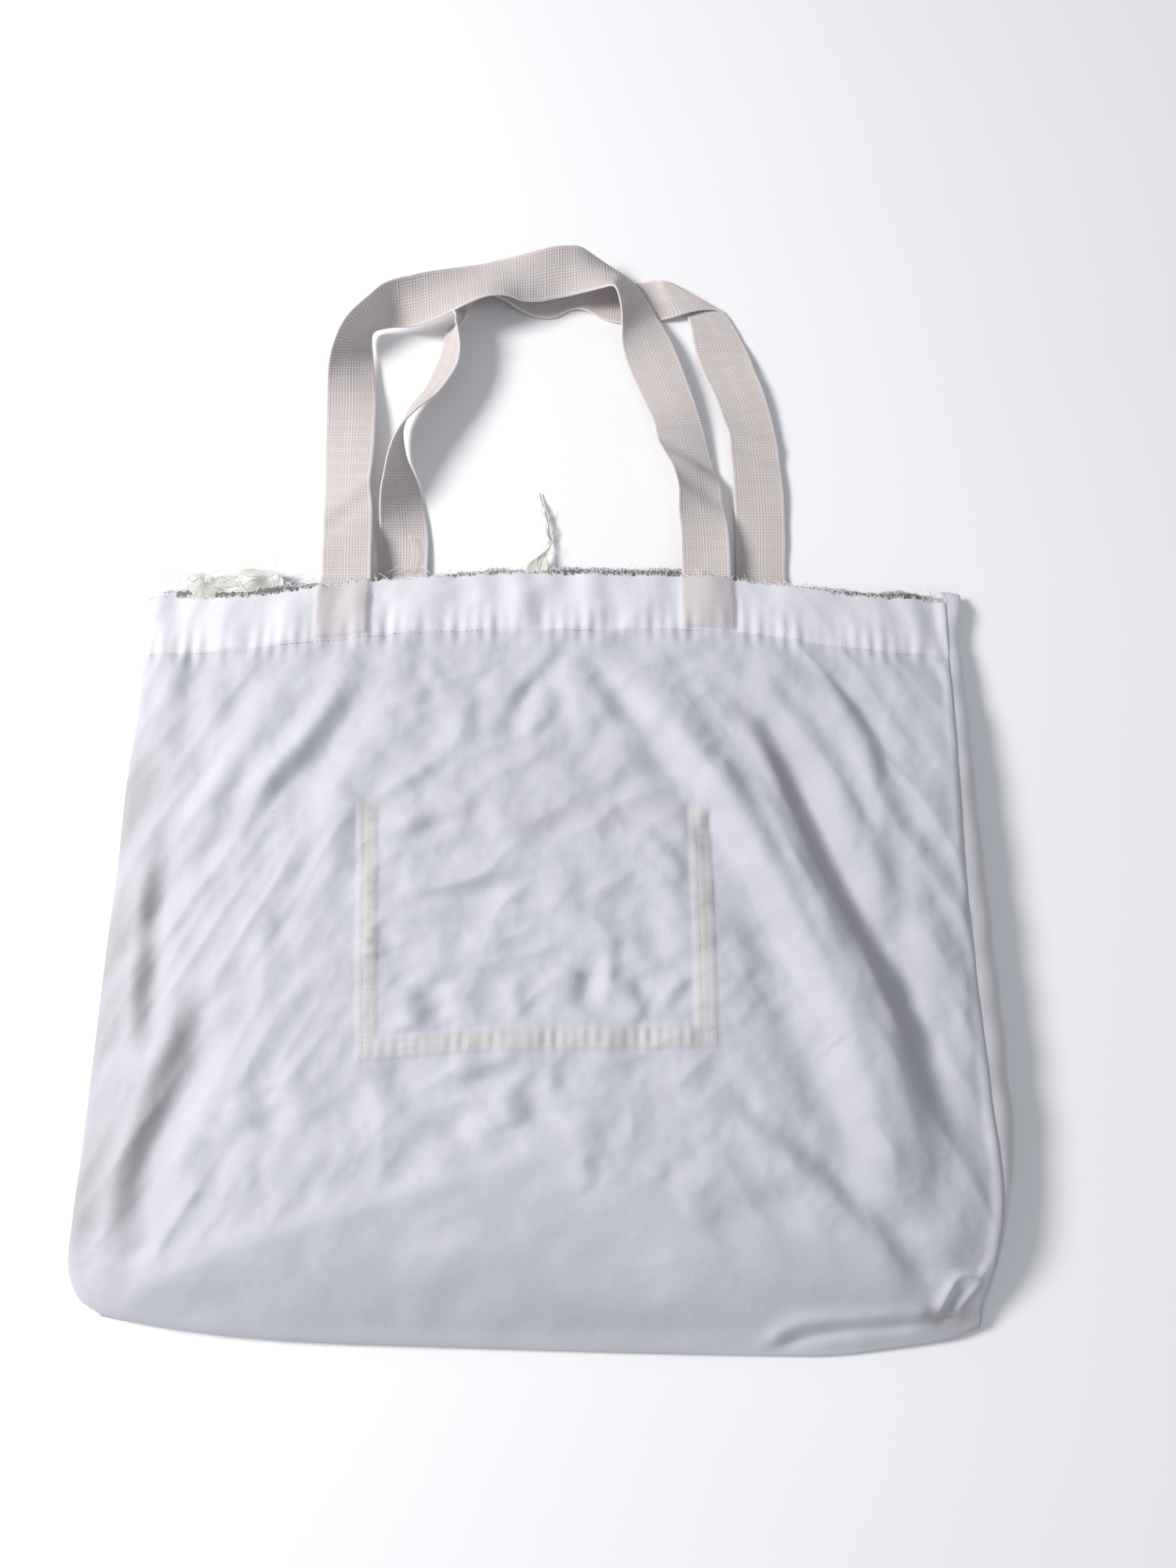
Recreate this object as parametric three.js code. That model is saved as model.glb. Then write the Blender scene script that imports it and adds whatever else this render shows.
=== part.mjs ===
// Canvas tote bag lying flat on its back panel.
// Millimetres, +Z up. +Y runs from the bottom of the bag to the mouth and the
// handles, +X runs across the bag. The origin is on the table under the middle
// of the whole object, so the back panel rests on z = 0.
import * as THREE from 'three';

// ---- driving dimensions -----------------------------------------------------
const HALF_WIDTH = 247;        // half of the bag's width
const BOTTOM_Y = -331;         // bottom edge of the bag at its middle
const HINGE_Y = -250;          // line about which the front lifts when the mouth opens
const MOUTH_Y = 76.5;          // front raw edge at the side seams
const MOUTH_BOW = 15.5;        // how far the front raw edge bows up in the middle
const BACK_RISE = 8.5;         // the back raw edge stands this much beyond the front one
const HEM_DEPTH = 36;          // depth of the facing and of the sewn strap ends
const CANVAS = 1.0;            // thickness of the canvas
const WEBBING = 1.8;           // thickness of the handle webbing
const WEB_WIDTH = 31;          // width of the handle webbing
const GAP = 0.3;               // clearance between layers
const LAYER = 0.4;             // clearance under curved cloth
const POCKET = { x0: -109, x1: 91, y0: -190, y1: -44, slack: 7.8, margin: 8 };
const FRONT_LEGS = [-122.4, 92.8];   // centre lines of the front handle's legs
const BACK_LEGS = [-90.3, 127.3];    // centre lines of the back handle's legs
const FRONT_HANDLE_START = 91.5;     // y where the front handle leaves the mouth
const BACK_HANDLE_START = 101.5;     // y where the back handle leaves the mouth
const CENTRE_Y = 4.155;              // puts the origin under the middle of the object's length

// ---- shape of the lying bag -------------------------------------------------
function lerpTable(table, t) {
  if (t <= table[0][0]) return table[0][1];
  for (let i = 1; i < table.length; i++) {
    if (t <= table[i][0]) {
      const [a, va] = table[i - 1], [b, vb] = table[i];
      const k = (t - a) / (b - a);
      return va + (vb - va) * k;
    }
  }
  return table[table.length - 1][1];
}
function smoothTable(table, t, r) {           // box-filtered table, so it has no kinks
  let s = 0;
  for (let i = -4; i <= 4; i++) s += lerpTable(table, t + (i * r) / 4);
  return s / 9;
}
// height of the front cloth's outer face along the middle of the bag
const CROWN = [[-345, 1.5], [-331, 3.4], [-322, 12], [-308, 23], [-290, 32.5], [-268, 38.5], [-245, 41], [-190, 39.8], [-120, 38.5], [-50, 36.2], [0, 29.5], [45, 20.5], [80, 17.4], [110, 17]];
// height of the front cloth's edge at the side seam
const SIDE = [[-345, 3.3], [-322, 3.6], [-300, 8], [-275, 11.5], [-200, 13], [-60, 11], [76, 8.6], [110, 8.6]];
const crown = (y) => smoothTable(CROWN, y, 10);
const side = (y) => smoothTable(SIDE, y, 10);
const halfWidthAt = (y) => HALF_WIDTH - 12 * Math.pow(Math.max(0, (-y - 285) / 46), 2);
function top(x, y) {
  const u = Math.min(1, Math.abs(x) / halfWidthAt(y));
  return side(y) + (crown(y) - side(y)) * (1 - Math.pow(u, 4));
}
const mouthFront = (x) => MOUTH_Y + MOUTH_BOW * (1 - Math.pow(Math.min(1, Math.abs(x) / 190), 2.2));
const mouthBack = (x) => mouthFront(x) + BACK_RISE;
const bottomEdge = (x) => BOTTOM_Y + 14 * Math.pow(Math.abs(x) / HALF_WIDTH, 3);
const ease = (k) => { const c = Math.min(1, Math.max(0, k)); return c * c * (3 - 2 * c); };

// ---- mesh helpers -----------------------------------------------------------
// A closed sheet: outer(i, j) and inner(i, j) give the two faces of the cloth.
function sheetGeometry(nu, nv, outer, inner) {
  const pos = [];
  const idx = [];
  const n = (nu + 1) * (nv + 1);
  for (const f of [outer, inner])
    for (let j = 0; j <= nv; j++)
      for (let i = 0; i <= nu; i++) pos.push(...f(i / nu, j / nv));
  const at = (i, j, s) => s * n + j * (nu + 1) + i;
  const quad = (a, b, c, d) => idx.push(a, b, c, a, c, d);
  for (let j = 0; j < nv; j++)
    for (let i = 0; i < nu; i++) {
      quad(at(i, j, 0), at(i + 1, j, 0), at(i + 1, j + 1, 0), at(i, j + 1, 0));
      quad(at(i, j, 1), at(i, j + 1, 1), at(i + 1, j + 1, 1), at(i + 1, j, 1));
    }
  for (let i = 0; i < nu; i++) {
    quad(at(i, 0, 1), at(i + 1, 0, 1), at(i + 1, 0, 0), at(i, 0, 0));
    quad(at(i, nv, 0), at(i + 1, nv, 0), at(i + 1, nv, 1), at(i, nv, 1));
  }
  for (let j = 0; j < nv; j++) {
    quad(at(0, j, 0), at(0, j + 1, 0), at(0, j + 1, 1), at(0, j, 1));
    quad(at(nu, j, 1), at(nu, j + 1, 1), at(nu, j + 1, 0), at(nu, j, 0));
  }
  let vol = 0;
  for (let k = 0; k < idx.length; k += 3) {
    const [a, b, c] = [idx[k], idx[k + 1], idx[k + 2]].map((q) => new THREE.Vector3(pos[3 * q], pos[3 * q + 1], pos[3 * q + 2]));
    vol += a.dot(b.cross(c));
  }
  if (vol < 0) for (let k = 0; k < idx.length; k += 3) [idx[k + 1], idx[k + 2]] = [idx[k + 2], idx[k + 1]];
  const g = new THREE.BufferGeometry();
  g.setAttribute('position', new THREE.Float32BufferAttribute(pos, 3));
  g.setIndex(idx);
  g.computeVertexNormals();
  return g;
}
// A flat strap along a list of [x, y, z] points, its width level with the table.
function strapGeometry(points, steps, width, thickness) {
  const curve = new THREE.CatmullRomCurve3(points.map((p) => new THREE.Vector3(...p)), false, 'centripetal');
  const ps = curve.getSpacedPoints(steps);
  const side2 = ps.map((p, i) => {
    const a = ps[Math.max(0, i - 1)], b = ps[Math.min(steps, i + 1)];
    const t = new THREE.Vector3().subVectors(b, a).normalize();
    const level = new THREE.Vector3(t.y, -t.x, 0).normalize();
    const up = new THREE.Vector3().crossVectors(level, t).normalize();
    return [level, up];
  });
  const f = (s) => (u, v) => {
    const i = Math.round(v * steps);
    const [level, up] = side2[i];
    const q = ps[i].clone().addScaledVector(level, (u - 0.5) * width).addScaledVector(up, s * thickness / 2);
    return [q.x, q.y, q.z];
  };
  return sheetGeometry(1, steps, f(1), f(-1));
}

const group = new THREE.Group();
function add(name, geometry, color, roughness = 0.9) {
  const mesh = new THREE.Mesh(geometry, new THREE.MeshStandardMaterial({ color, roughness, metalness: 0 }));
  mesh.name = name;
  group.add(mesh);
}
const CLOTH = 0xd9dae2, WEB = 0xd6cbc8, THREAD = 0xe6dcc8, LINING = 0xdedfd0;

// columns that are closer together near the side seams, where the cloth turns down
const spread = (s) => { const k = 2 * s - 1; return k * (1.35 - 0.35 * k * k); };

// ---- back half: rests on the table -----------------------------------------
const BACK_HALF = 238;
{
  const f = (z) => (a, b) => {
    const x = BACK_HALF * (2 * a - 1);
    const y0 = bottomEdge(x) - 1.5, y1 = mouthBack(x);
    return [x, y0 + (y1 - y0) * b, z];
  };
  add('back_panel', sheetGeometry(24, 1, f(CANVAS), f(0)), CLOTH);
}
for (const [name, s] of [['back_panel_left_edge', -1], ['back_panel_right_edge', 1]]) {
  // the back panel's sides turn up to the side seams
  const f = (off) => (a, b) => {
    const y = -312 + (74 + 312) * b;
    const z0 = CANVAS + GAP, z1 = side(y) - CANVAS - GAP;
    return [s * (halfWidthAt(y) - 8.7 + 8.4 * a + off), y, z0 + (z1 - z0) * a];
  };
  add(name, sheetGeometry(1, 12, f(0.8), f(0)), CLOTH);
}
{
  const f = (d) => (a, b) => {
    const u = spread(a);
    const y0 = bottomEdge(u * (HALF_WIDTH - 14)), y1 = HINGE_Y - 0.5;
    const y = y0 + (y1 - y0) * b;
    const x = u * (halfWidthAt(y) - 0.2);
    return [x, y, Math.max(top(x, y), CANVAS + GAP + CANVAS + 0.05) - d];
  };
  add('bottom_panel', sheetGeometry(20, 8, f(0), f(CANVAS)), CLOTH);
}
for (const [name, s] of [['left_corner_seam', -1], ['right_corner_seam', 1]]) {
  const f = (z) => (a, b) => [s * (200 + 32 * a), -303 + 8 * b, z];
  add(name, sheetGeometry(1, 1, f(2.9), f(CANVAS + GAP)), CLOTH);
}
for (const [name, s] of [['left_side_seam', -1], ['right_side_seam', 1]]) {
  // both cloths' seam allowances, pressed together inside the side seam
  const f = (d) => (a, b) => {
    const y = -270 + (70 + 270) * b;
    const x = s * (233.5 + 9 * a);
    return [x, y, top(x, y) - CANVAS - LAYER - d];
  };
  add(name, sheetGeometry(2, 14, f(0), f(1.6)), CLOTH);
}
const backStack = CANVAS + GAP + WEBBING + GAP;
{
  const f = (z) => (a, b) => {
    const x = 226 * (2 * a - 1);
    const y1 = mouthBack(x) - 1.5;
    return [x, y1 - HEM_DEPTH * (1 - b), z];
  };
  add('back_facing', sheetGeometry(20, 1, f(backStack + CANVAS), f(backStack)), CLOTH);
}
BACK_LEGS.forEach((x, k) => {
  const y1 = BACK_HANDLE_START - 1.4;
  const f = (z) => (a, b) => [x + WEB_WIDTH * (a - 0.5), y1 - (HEM_DEPTH + 0.5) * (1 - b), z];
  add(k ? 'back_handle_right_end' : 'back_handle_left_end', sheetGeometry(1, 1, f(CANVAS + GAP + WEBBING), f(CANVAS + GAP)), WEB);
});
{
  const z = backStack + CANVAS + GAP;
  const f = (d) => (a, b) => {
    const x = 222 * (2 * a - 1);
    return [x, mouthBack(x) - 1.5 - HEM_DEPTH + 2 + 0.8 * b, z + d];
  };
  add('back_hem_stitching', sheetGeometry(20, 1, f(0.5), f(0)), THREAD);
}
{
  // crumpled rest of the cut-away lining at the left end of the mouth
  const f = (d) => (a, b) => {
    const x = -217 + 54 * a;
    const y0 = 52, y1 = mouthBack(x) + 12 + 4 * Math.sin(a * 9);
    const y = y0 + (y1 - y0) * b;
    const low = 5.6;
    const lump = 6 * Math.exp(-Math.pow((y - (mouthBack(x) + 6)) / 6, 2)) * (0.7 + 0.3 * Math.sin(a * 9));
    const fall = 3.2 * ease((y - mouthBack(x) - 8) / 8);
    return [x, y, low + lump - fall + d];
  };
  add('lining_remnant', sheetGeometry(12, 12, f(1.2), f(0)), LINING);
}
{
  // frayed tongue of lining that hangs out of the middle of the mouth
  const f = (d) => (a, b) => {
    const y0 = 62, y1 = 154;
    const y = y0 + (y1 - y0) * b;
    const w = 7 * (1 - 0.75 * ease((y - 96) / 60));
    const x = -9 + 5 * Math.sin((y - 96) / 20) * ease((y - 96) / 30);
    return [x + w * (2 * a - 1), y, 5.6 - 4.2 * ease((y - 104) / 18) + d];
  };
  add('frayed_tongue', sheetGeometry(2, 16, f(0.8), f(0)), LINING);
}

// ---- front half: lifts when the mouth opens ---------------------------------
{
  const f = (d) => (a, b) => {
    const u = spread(a);
    const y0 = HINGE_Y, y1 = mouthFront(u * HALF_WIDTH);
    const y = y0 + (y1 - y0) * b;
    const x = u * halfWidthAt(y);
    return [x, y, top(x, y) - d];
  };
  add('front_panel', sheetGeometry(28, 18, f(0), f(CANVAS)), CLOTH);
}
const tailTop = CANVAS + LAYER;
const facingTop = CANVAS + LAYER + WEBBING + LAYER;
{
  const f = (d) => (a, b) => {
    const x = 226 * spread(a);
    const y1 = mouthFront(x) - 1.5;
    const y = y1 - HEM_DEPTH * (1 - b);
    return [x, y, top(x, y) - facingTop - d];
  };
  add('front_facing', sheetGeometry(28, 3, f(0), f(CANVAS)), CLOTH);
}
FRONT_LEGS.forEach((x0, k) => {
  const f = (d) => (a, b) => {
    const x = x0 + WEB_WIDTH * (a - 0.5);
    const y1 = mouthFront(x0) + 1.5;
    const y = y1 - (HEM_DEPTH + 1) * (1 - b);
    return [x, y, top(x, y) - tailTop - d];
  };
  add(k ? 'front_handle_right_end' : 'front_handle_left_end', sheetGeometry(3, 3, f(0), f(WEBBING)), WEB);
});
{
  const f = (d) => (a, b) => {
    const x = 236 * spread(a);
    const y = mouthFront(x) - HEM_DEPTH + 1 + 0.8 * b;
    return [x, y, top(x, y) + GAP + d];
  };
  add('front_hem_stitching', sheetGeometry(28, 1, f(0.5), f(0)), THREAD);
}

// ---- inner pocket, sewn to the inside of the front panel --------------------
{
  const { x0, x1, y0, y1, slack, margin } = POCKET;
  const xs = [0, 0.04, 0.075, 0.2, 0.35, 0.5, 0.65, 0.8, 0.925, 0.96, 1];
  const ys = [0, 0.055, 0.1, 0.28, 0.46, 0.64, 0.82, 1];
  const f = (d) => (a, b) => {
    const x = x0 + (x1 - x0) * xs[Math.round(a * 10)];
    const y = y0 + (y1 - y0) * ys[Math.round(b * 7)];
    const in1 = ease((Math.min(x - x0, x1 - x) - margin) / 7) * ease((y - y0 - margin) / 7);
    return [x, y, top(x, y) - CANVAS - LAYER - slack * in1 + LAYER * in1 - d];
  };
  add('pocket_panel', sheetGeometry(10, 7, f(0), f(CANVAS)), CLOTH);
  // the folded hem along the pocket's open edge, on its bag side
  const g = (d) => (a, b) => {
    const x = x0 + 18 + (x1 - x0 - 36) * a;
    const y = y1 - 13 + 12.5 * b;
    return [x, y, top(x, y) - CANVAS - slack - CANVAS - GAP - 0.2 - d];
  };
  add('pocket_mouth_hem', sheetGeometry(8, 1, g(0), g(CANVAS)), CLOTH);
  const row = (name, outer, inner, n) => add(name, sheetGeometry(1, n, outer, inner), THREAD);
  for (const [name, x] of [['pocket_left_stitching', x0 + 2.5], ['pocket_right_stitching', x1 - 7.9]]) {
    // twin-needle rows, 5.4 mm apart
    const f2 = (d) => (a, b) => {
      const y = y0 + 3 + (y1 - y0 - 6) * b;
      return [x + 5.4 * a, y, top(x + 5.4 * a, y) + GAP + d];
    };
    row(name, f2(0.5), f2(0), 10);
  }
  const f3 = (d) => (a, b) => {
    const x = x0 + 12 + (x1 - x0 - 24) * b;
    const y = y0 + 2.5 + 5.4 * a;
    return [x, y, top(x, y) + GAP + d];
  };
  row('pocket_bottom_stitching', f3(0.5), f3(0), 12);
}

// ---- handles ----------------------------------------------------------------
const FRONT_HANDLE = [
  [-122.4, FRONT_HANDLE_START, 15.2], [-122.4, 99, 14.8], [-123, 112, 13.2], [-124, 135, 9.6], [-126, 165, 7.2], [-127, 200, 6.4],
  [-125, 232, 6.4], [-115, 262, 6.6], [-96, 283, 6.8], [-70, 292, 7.2], [-45, 294, 7.6], [-18, 300, 7.2], [8, 308, 7], [30, 307, 7],
  [48, 292, 7], [57, 268, 6.6], [65, 238, 6.2], [75, 205, 6], [84, 172, 6.6], [89, 145, 8.6], [92, 120, 12], [92.8, 102, 14.6], [92.8, FRONT_HANDLE_START, 15.2]];
const BACK_HANDLE = [
  [-90.3, BACK_HANDLE_START, 2.2], [-90.3, 112, 2.1], [-90.6, 130, 1.6], [-92, 155, 1.3], [-93, 182, 1.3], [-85, 210, 1.3], [-71, 238, 1.3],
  [-62, 261, 1.3], [-46, 284, 1.3], [-20, 292, 1.3], [5, 294, 1.3], [35, 295, 1.3], [64, 294, 1.3], [88, 287, 1.3], [103, 266, 1.3], [111, 240, 1.3],
  [120, 210, 1.3], [125, 178, 1.3], [127.5, 145, 1.3], [127.6, 120, 1.8], [127.3, BACK_HANDLE_START, 2.2]];
add('front_handle', strapGeometry(FRONT_HANDLE, 64, WEB_WIDTH, WEBBING), WEB);
add('back_handle', strapGeometry(BACK_HANDLE, 60, WEB_WIDTH, WEBBING), WEB);

group.position.y = CENTRE_Y;
export default group;
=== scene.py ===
# Canvas tote bag lying flat: cloth, webbing handles, stitching, fringes and lining scraps
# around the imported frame. Shape tables are in millimetres in the design frame
# (row frame = design frame + 4.155 mm in Y), converted to metres when meshes are made.
import bpy, math
import numpy as np
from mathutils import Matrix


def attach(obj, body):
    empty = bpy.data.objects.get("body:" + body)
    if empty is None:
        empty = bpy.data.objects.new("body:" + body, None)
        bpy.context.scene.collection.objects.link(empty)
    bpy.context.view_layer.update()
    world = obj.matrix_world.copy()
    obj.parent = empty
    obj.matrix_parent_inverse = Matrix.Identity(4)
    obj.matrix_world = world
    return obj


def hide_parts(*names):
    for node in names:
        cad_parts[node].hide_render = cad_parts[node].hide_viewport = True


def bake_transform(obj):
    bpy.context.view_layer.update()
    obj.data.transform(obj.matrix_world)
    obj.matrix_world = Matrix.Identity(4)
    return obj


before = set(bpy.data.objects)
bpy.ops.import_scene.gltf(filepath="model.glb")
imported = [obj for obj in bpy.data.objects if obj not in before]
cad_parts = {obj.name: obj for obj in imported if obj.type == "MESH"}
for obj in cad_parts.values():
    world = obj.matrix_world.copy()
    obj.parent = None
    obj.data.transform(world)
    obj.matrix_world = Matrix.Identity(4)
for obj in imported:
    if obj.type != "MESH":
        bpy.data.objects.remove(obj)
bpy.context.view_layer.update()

CY = 4.155
HINGE_Y = -250.0
HEM = 36.0


# ---------------------------------------------------------------- camera, light, floor
def look(obj, target):
    from mathutils import Vector
    d = Vector(target) - obj.location
    obj.rotation_euler = d.to_track_quat("-Z", "Y").to_euler()


cam_data = bpy.data.cameras.new("camera")
cam = bpy.data.objects.new("camera", cam_data)
bpy.context.scene.collection.objects.link(cam)
cam.location = (0.022, -0.2127, 0.6569)
cam.rotation_euler = (math.radians(15.6), 0, 0)
cam_data.lens = 27.0
cam_data.sensor_width = 36.0
cam_data.clip_start = 0.01
cam_data.clip_end = 50
bpy.context.scene.camera = cam


def area_light(name, loc, target, size, power, color):
    d = bpy.data.lights.new(name, "AREA")
    d.shape = "DISK"
    d.size = size
    d.energy = power
    d.color = color
    o = bpy.data.objects.new(name, d)
    bpy.context.scene.collection.objects.link(o)
    o.location = loc
    look(o, target)
    return o


area_light("key", (-1.50, 0.22, 1.30), (0, -0.05, 0), 0.70, 41, (1.0, 0.985, 0.965))
area_light("fill", (1.2, -1.2, 2.2), (0, -0.05, 0), 1.6, 5.0, (0.93, 0.95, 1.0))
world = bpy.data.worlds.new("world")
bpy.context.scene.world = world
world.use_nodes = True
bg = world.node_tree.nodes["Background"]
bg.inputs[0].default_value = (0.90, 0.93, 1.0, 1)
bg.inputs[1].default_value = 0.40
bpy.context.scene.view_settings.view_transform = "Standard"
bpy.context.scene.view_settings.look = "None"


# ---------------------------------------------------------------- materials
def srgb(r, g, b):
    f = lambda c: (c / 255 / 12.92) if c / 255 <= 0.04045 else ((c / 255 + 0.055) / 1.055) ** 2.4
    return (f(r), f(g), f(b), 1.0)


class Mat:
    def __init__(self, name, roughness=0.9, sheen=0.0, specular=0.25):
        self.m = bpy.data.materials.new(name)
        self.m.use_nodes = True
        self.t = self.m.node_tree
        self.p = self.t.nodes["Principled BSDF"]
        self.p.inputs["Roughness"].default_value = roughness
        self.p.inputs["Specular IOR Level"].default_value = specular
        if sheen:
            self.p.inputs["Sheen Weight"].default_value = sheen
            self.p.inputs["Sheen Roughness"].default_value = 0.5

    def node(self, kind, **kw):
        n = self.t.nodes.new(kind)
        for k, v in kw.items():
            setattr(n, k, v)
        return n

    def link(self, a, b):
        self.t.links.new(a, b)

    def noise(self, coord, scale, detail=4.0, rough=0.55):
        n = self.node("ShaderNodeTexNoise")
        n.inputs["Scale"].default_value = scale
        n.inputs["Detail"].default_value = detail
        n.inputs["Roughness"].default_value = rough
        self.link(coord, n.inputs["Vector"])
        return n.outputs["Fac"]

    def ramp(self, fac, stops):
        n = self.node("ShaderNodeValToRGB")
        e = n.color_ramp.elements
        e[0].position, e[0].color = stops[0]
        e[1].position, e[1].color = stops[-1]
        for pos, c in stops[1:-1]:
            k = e.new(pos)
            k.color = c
        self.link(fac, n.inputs["Fac"])
        return n.outputs["Color"]

    def mix(self, fac, a, b, mode="MIX"):
        n = self.node("ShaderNodeMix", data_type="RGBA", blend_type=mode)
        for sock, v in ((n.inputs[0], fac), (n.inputs[6], a), (n.inputs[7], b)):
            if hasattr(v, "is_output"):
                self.link(v, sock)
            else:
                sock.default_value = v
        return n.outputs[2]

    def math(self, op, a, b=0.0):
        n = self.node("ShaderNodeMath", operation=op)
        for sock, v in ((n.inputs[0], a), (n.inputs[1], b)):
            if hasattr(v, "is_output"):
                self.link(v, sock)
            else:
                sock.default_value = v
        return n.outputs[0]

    def wave(self, coord, pitch, direction):
        n = self.node("ShaderNodeTexWave", wave_type="BANDS", bands_direction=direction, wave_profile="SIN")
        n.inputs["Scale"].default_value = 2 * math.pi / (20 * pitch)
        n.inputs["Distortion"].default_value = 0.6
        n.inputs["Detail"].default_value = 1.0
        self.link(coord, n.inputs["Vector"])
        return n.outputs["Fac"]

    def attr(self, name):
        n = self.node("ShaderNodeAttribute", attribute_name=name)
        return n.outputs["Fac"]

    def bump(self, height, strength, distance, normal=None):
        n = self.node("ShaderNodeBump")
        n.inputs["Strength"].default_value = strength
        n.inputs["Distance"].default_value = distance
        self.link(height, n.inputs["Height"])
        if normal is not None:
            self.link(normal, n.inputs["Normal"])
        return n.outputs["Normal"]


def uv(m):
    return m.node("ShaderNodeUVMap", uv_map="flat").outputs["UV"]


def canvas_material(name, base, shade, tint=False):
    m = Mat(name, roughness=0.88, sheen=0.15, specular=0.2)
    c = uv(m)
    big = m.ramp(m.noise(c, 11, 3), [(0.36, (0, 0, 0, 1)), (0.68, (1, 1, 1, 1))])
    mid = m.ramp(m.noise(c, 55, 5, 0.65), [(0.40, (0, 0, 0, 1)), (0.75, (1, 1, 1, 1))])
    col = m.mix(m.math("MULTIPLY", big, 0.55), base, shade)
    col = m.mix(m.math("MULTIPLY", mid, 0.22), col, shade)
    slub = m.noise(c, 420, 2, 0.5)
    col = m.mix(m.math("MULTIPLY", m.ramp(slub, [(0.45, (0, 0, 0, 1)), (0.8, (1, 1, 1, 1))]), 0.16), col, srgb(186, 186, 194))
    spots = m.ramp(m.noise(c, 95, 1, 0.4), [(0.80, (0, 0, 0, 1)), (0.83, (1, 1, 1, 1))])
    col = m.mix(m.math("MULTIPLY", spots, 0.35), col, srgb(150, 148, 146))
    if tint:
        col = m.mix(m.attr("double"), col, srgb(222, 222, 229))
        col = m.mix(m.attr("strap_under"), col, srgb(206, 193, 189))
        col = m.mix(m.attr("cream"), col, srgb(203, 199, 199))
        # darkens real marks, and paints shade into the fold valleys, the left edge and the bottom right corner
        col = m.mix(m.attr("dark_marks_and_painted_shade"), col, srgb(146, 141, 140))
    m.link(col, m.p.inputs["Base Color"])
    wx, wy = m.wave(c, 0.00062, "X"), m.wave(c, 0.00068, "Y")
    weave = m.math("MULTIPLY", wx, wy)
    n1 = m.bump(weave, 0.35, 0.00012)
    n2 = m.bump(m.noise(c, 230, 4, 0.6), 0.30, 0.0005, n1)
    m.link(n2, m.p.inputs["Normal"])
    return m.m


CANVAS = canvas_material("canvas_outside", srgb(202, 203, 212), srgb(187, 188, 197), tint=True)
# dark inside canvas: painted shade standing in for the shadow inside the mouth
CANVAS_IN_PAINTED_SHADE = canvas_material("canvas_inside_painted_shade", srgb(128, 125, 126), srgb(112, 110, 110))
CANVAS_IN = canvas_material("canvas_inside", srgb(206, 205, 209), srgb(188, 186, 189))


def webbing_material():
    m = Mat("cotton_webbing", roughness=0.92, sheen=0.2, specular=0.15)
    c = uv(m)
    big = m.ramp(m.noise(c, 14, 3), [(0.35, (0, 0, 0, 1)), (0.7, (1, 1, 1, 1))])
    col = m.mix(m.math("MULTIPLY", big, 0.6), srgb(231, 225, 225), srgb(217, 210, 210))
    # painted shade: the weave's pits are darkened in colour, on top of the pits in the geometry
    pit_painted_shade = m.attr("pit")
    col = m.mix(m.math("MULTIPLY", pit_painted_shade, 0.78), col, srgb(160, 145, 139))
    fibre = m.ramp(m.noise(c, 900, 3, 0.6), [(0.4, (0, 0, 0, 1)), (0.75, (1, 1, 1, 1))])
    col = m.mix(m.math("MULTIPLY", fibre, 0.2), col, srgb(190, 176, 170))
    m.link(col, m.p.inputs["Base Color"])
    m.link(m.bump(m.noise(c, 1400, 4, 0.65), 0.35, 0.0003), m.p.inputs["Normal"])
    return m.m


WEB = webbing_material()


def thread_material(name, a, b):
    m = Mat(name, roughness=0.85, sheen=0.2, specular=0.2)
    c = uv(m)
    col = m.mix(m.noise(c, 260, 3), a, b)
    m.link(col, m.p.inputs["Base Color"])
    m.link(m.bump(m.wave(c, 0.0007, "X"), 0.4, 0.0001), m.p.inputs["Normal"])
    return m.m


THREAD = thread_material("stitch_thread", srgb(224, 212, 196), srgb(200, 187, 170))
FRAY = thread_material("frayed_yarn", srgb(250, 249, 246), srgb(226, 224, 220))


def lining_material():
    m = Mat("lining_cloth", roughness=0.8, sheen=0.3, specular=0.3)
    c = uv(m)
    col = m.mix(m.ramp(m.noise(c, 60, 4), [(0.4, (0, 0, 0, 1)), (0.7, (1, 1, 1, 1))]), srgb(226, 226, 219), srgb(206, 206, 197))
    m.link(col, m.p.inputs["Base Color"])
    w = m.math("MULTIPLY", m.wave(c, 0.0005, "X"), m.wave(c, 0.0005, "Y"))
    m.link(m.bump(m.noise(c, 300, 4), 0.35, 0.0005, m.bump(w, 0.3, 0.0001)), m.p.inputs["Normal"])
    return m.m


LINING = lining_material()


def floor_material():
    m = Mat("floor", roughness=0.95, specular=0.1)
    g = m.node("ShaderNodeTexCoord").outputs["Object"]
    m.link(m.mix(m.noise(g, 3, 2), srgb(250, 250, 251), srgb(246, 246, 248)), m.p.inputs["Base Color"])
    return m.m


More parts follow.
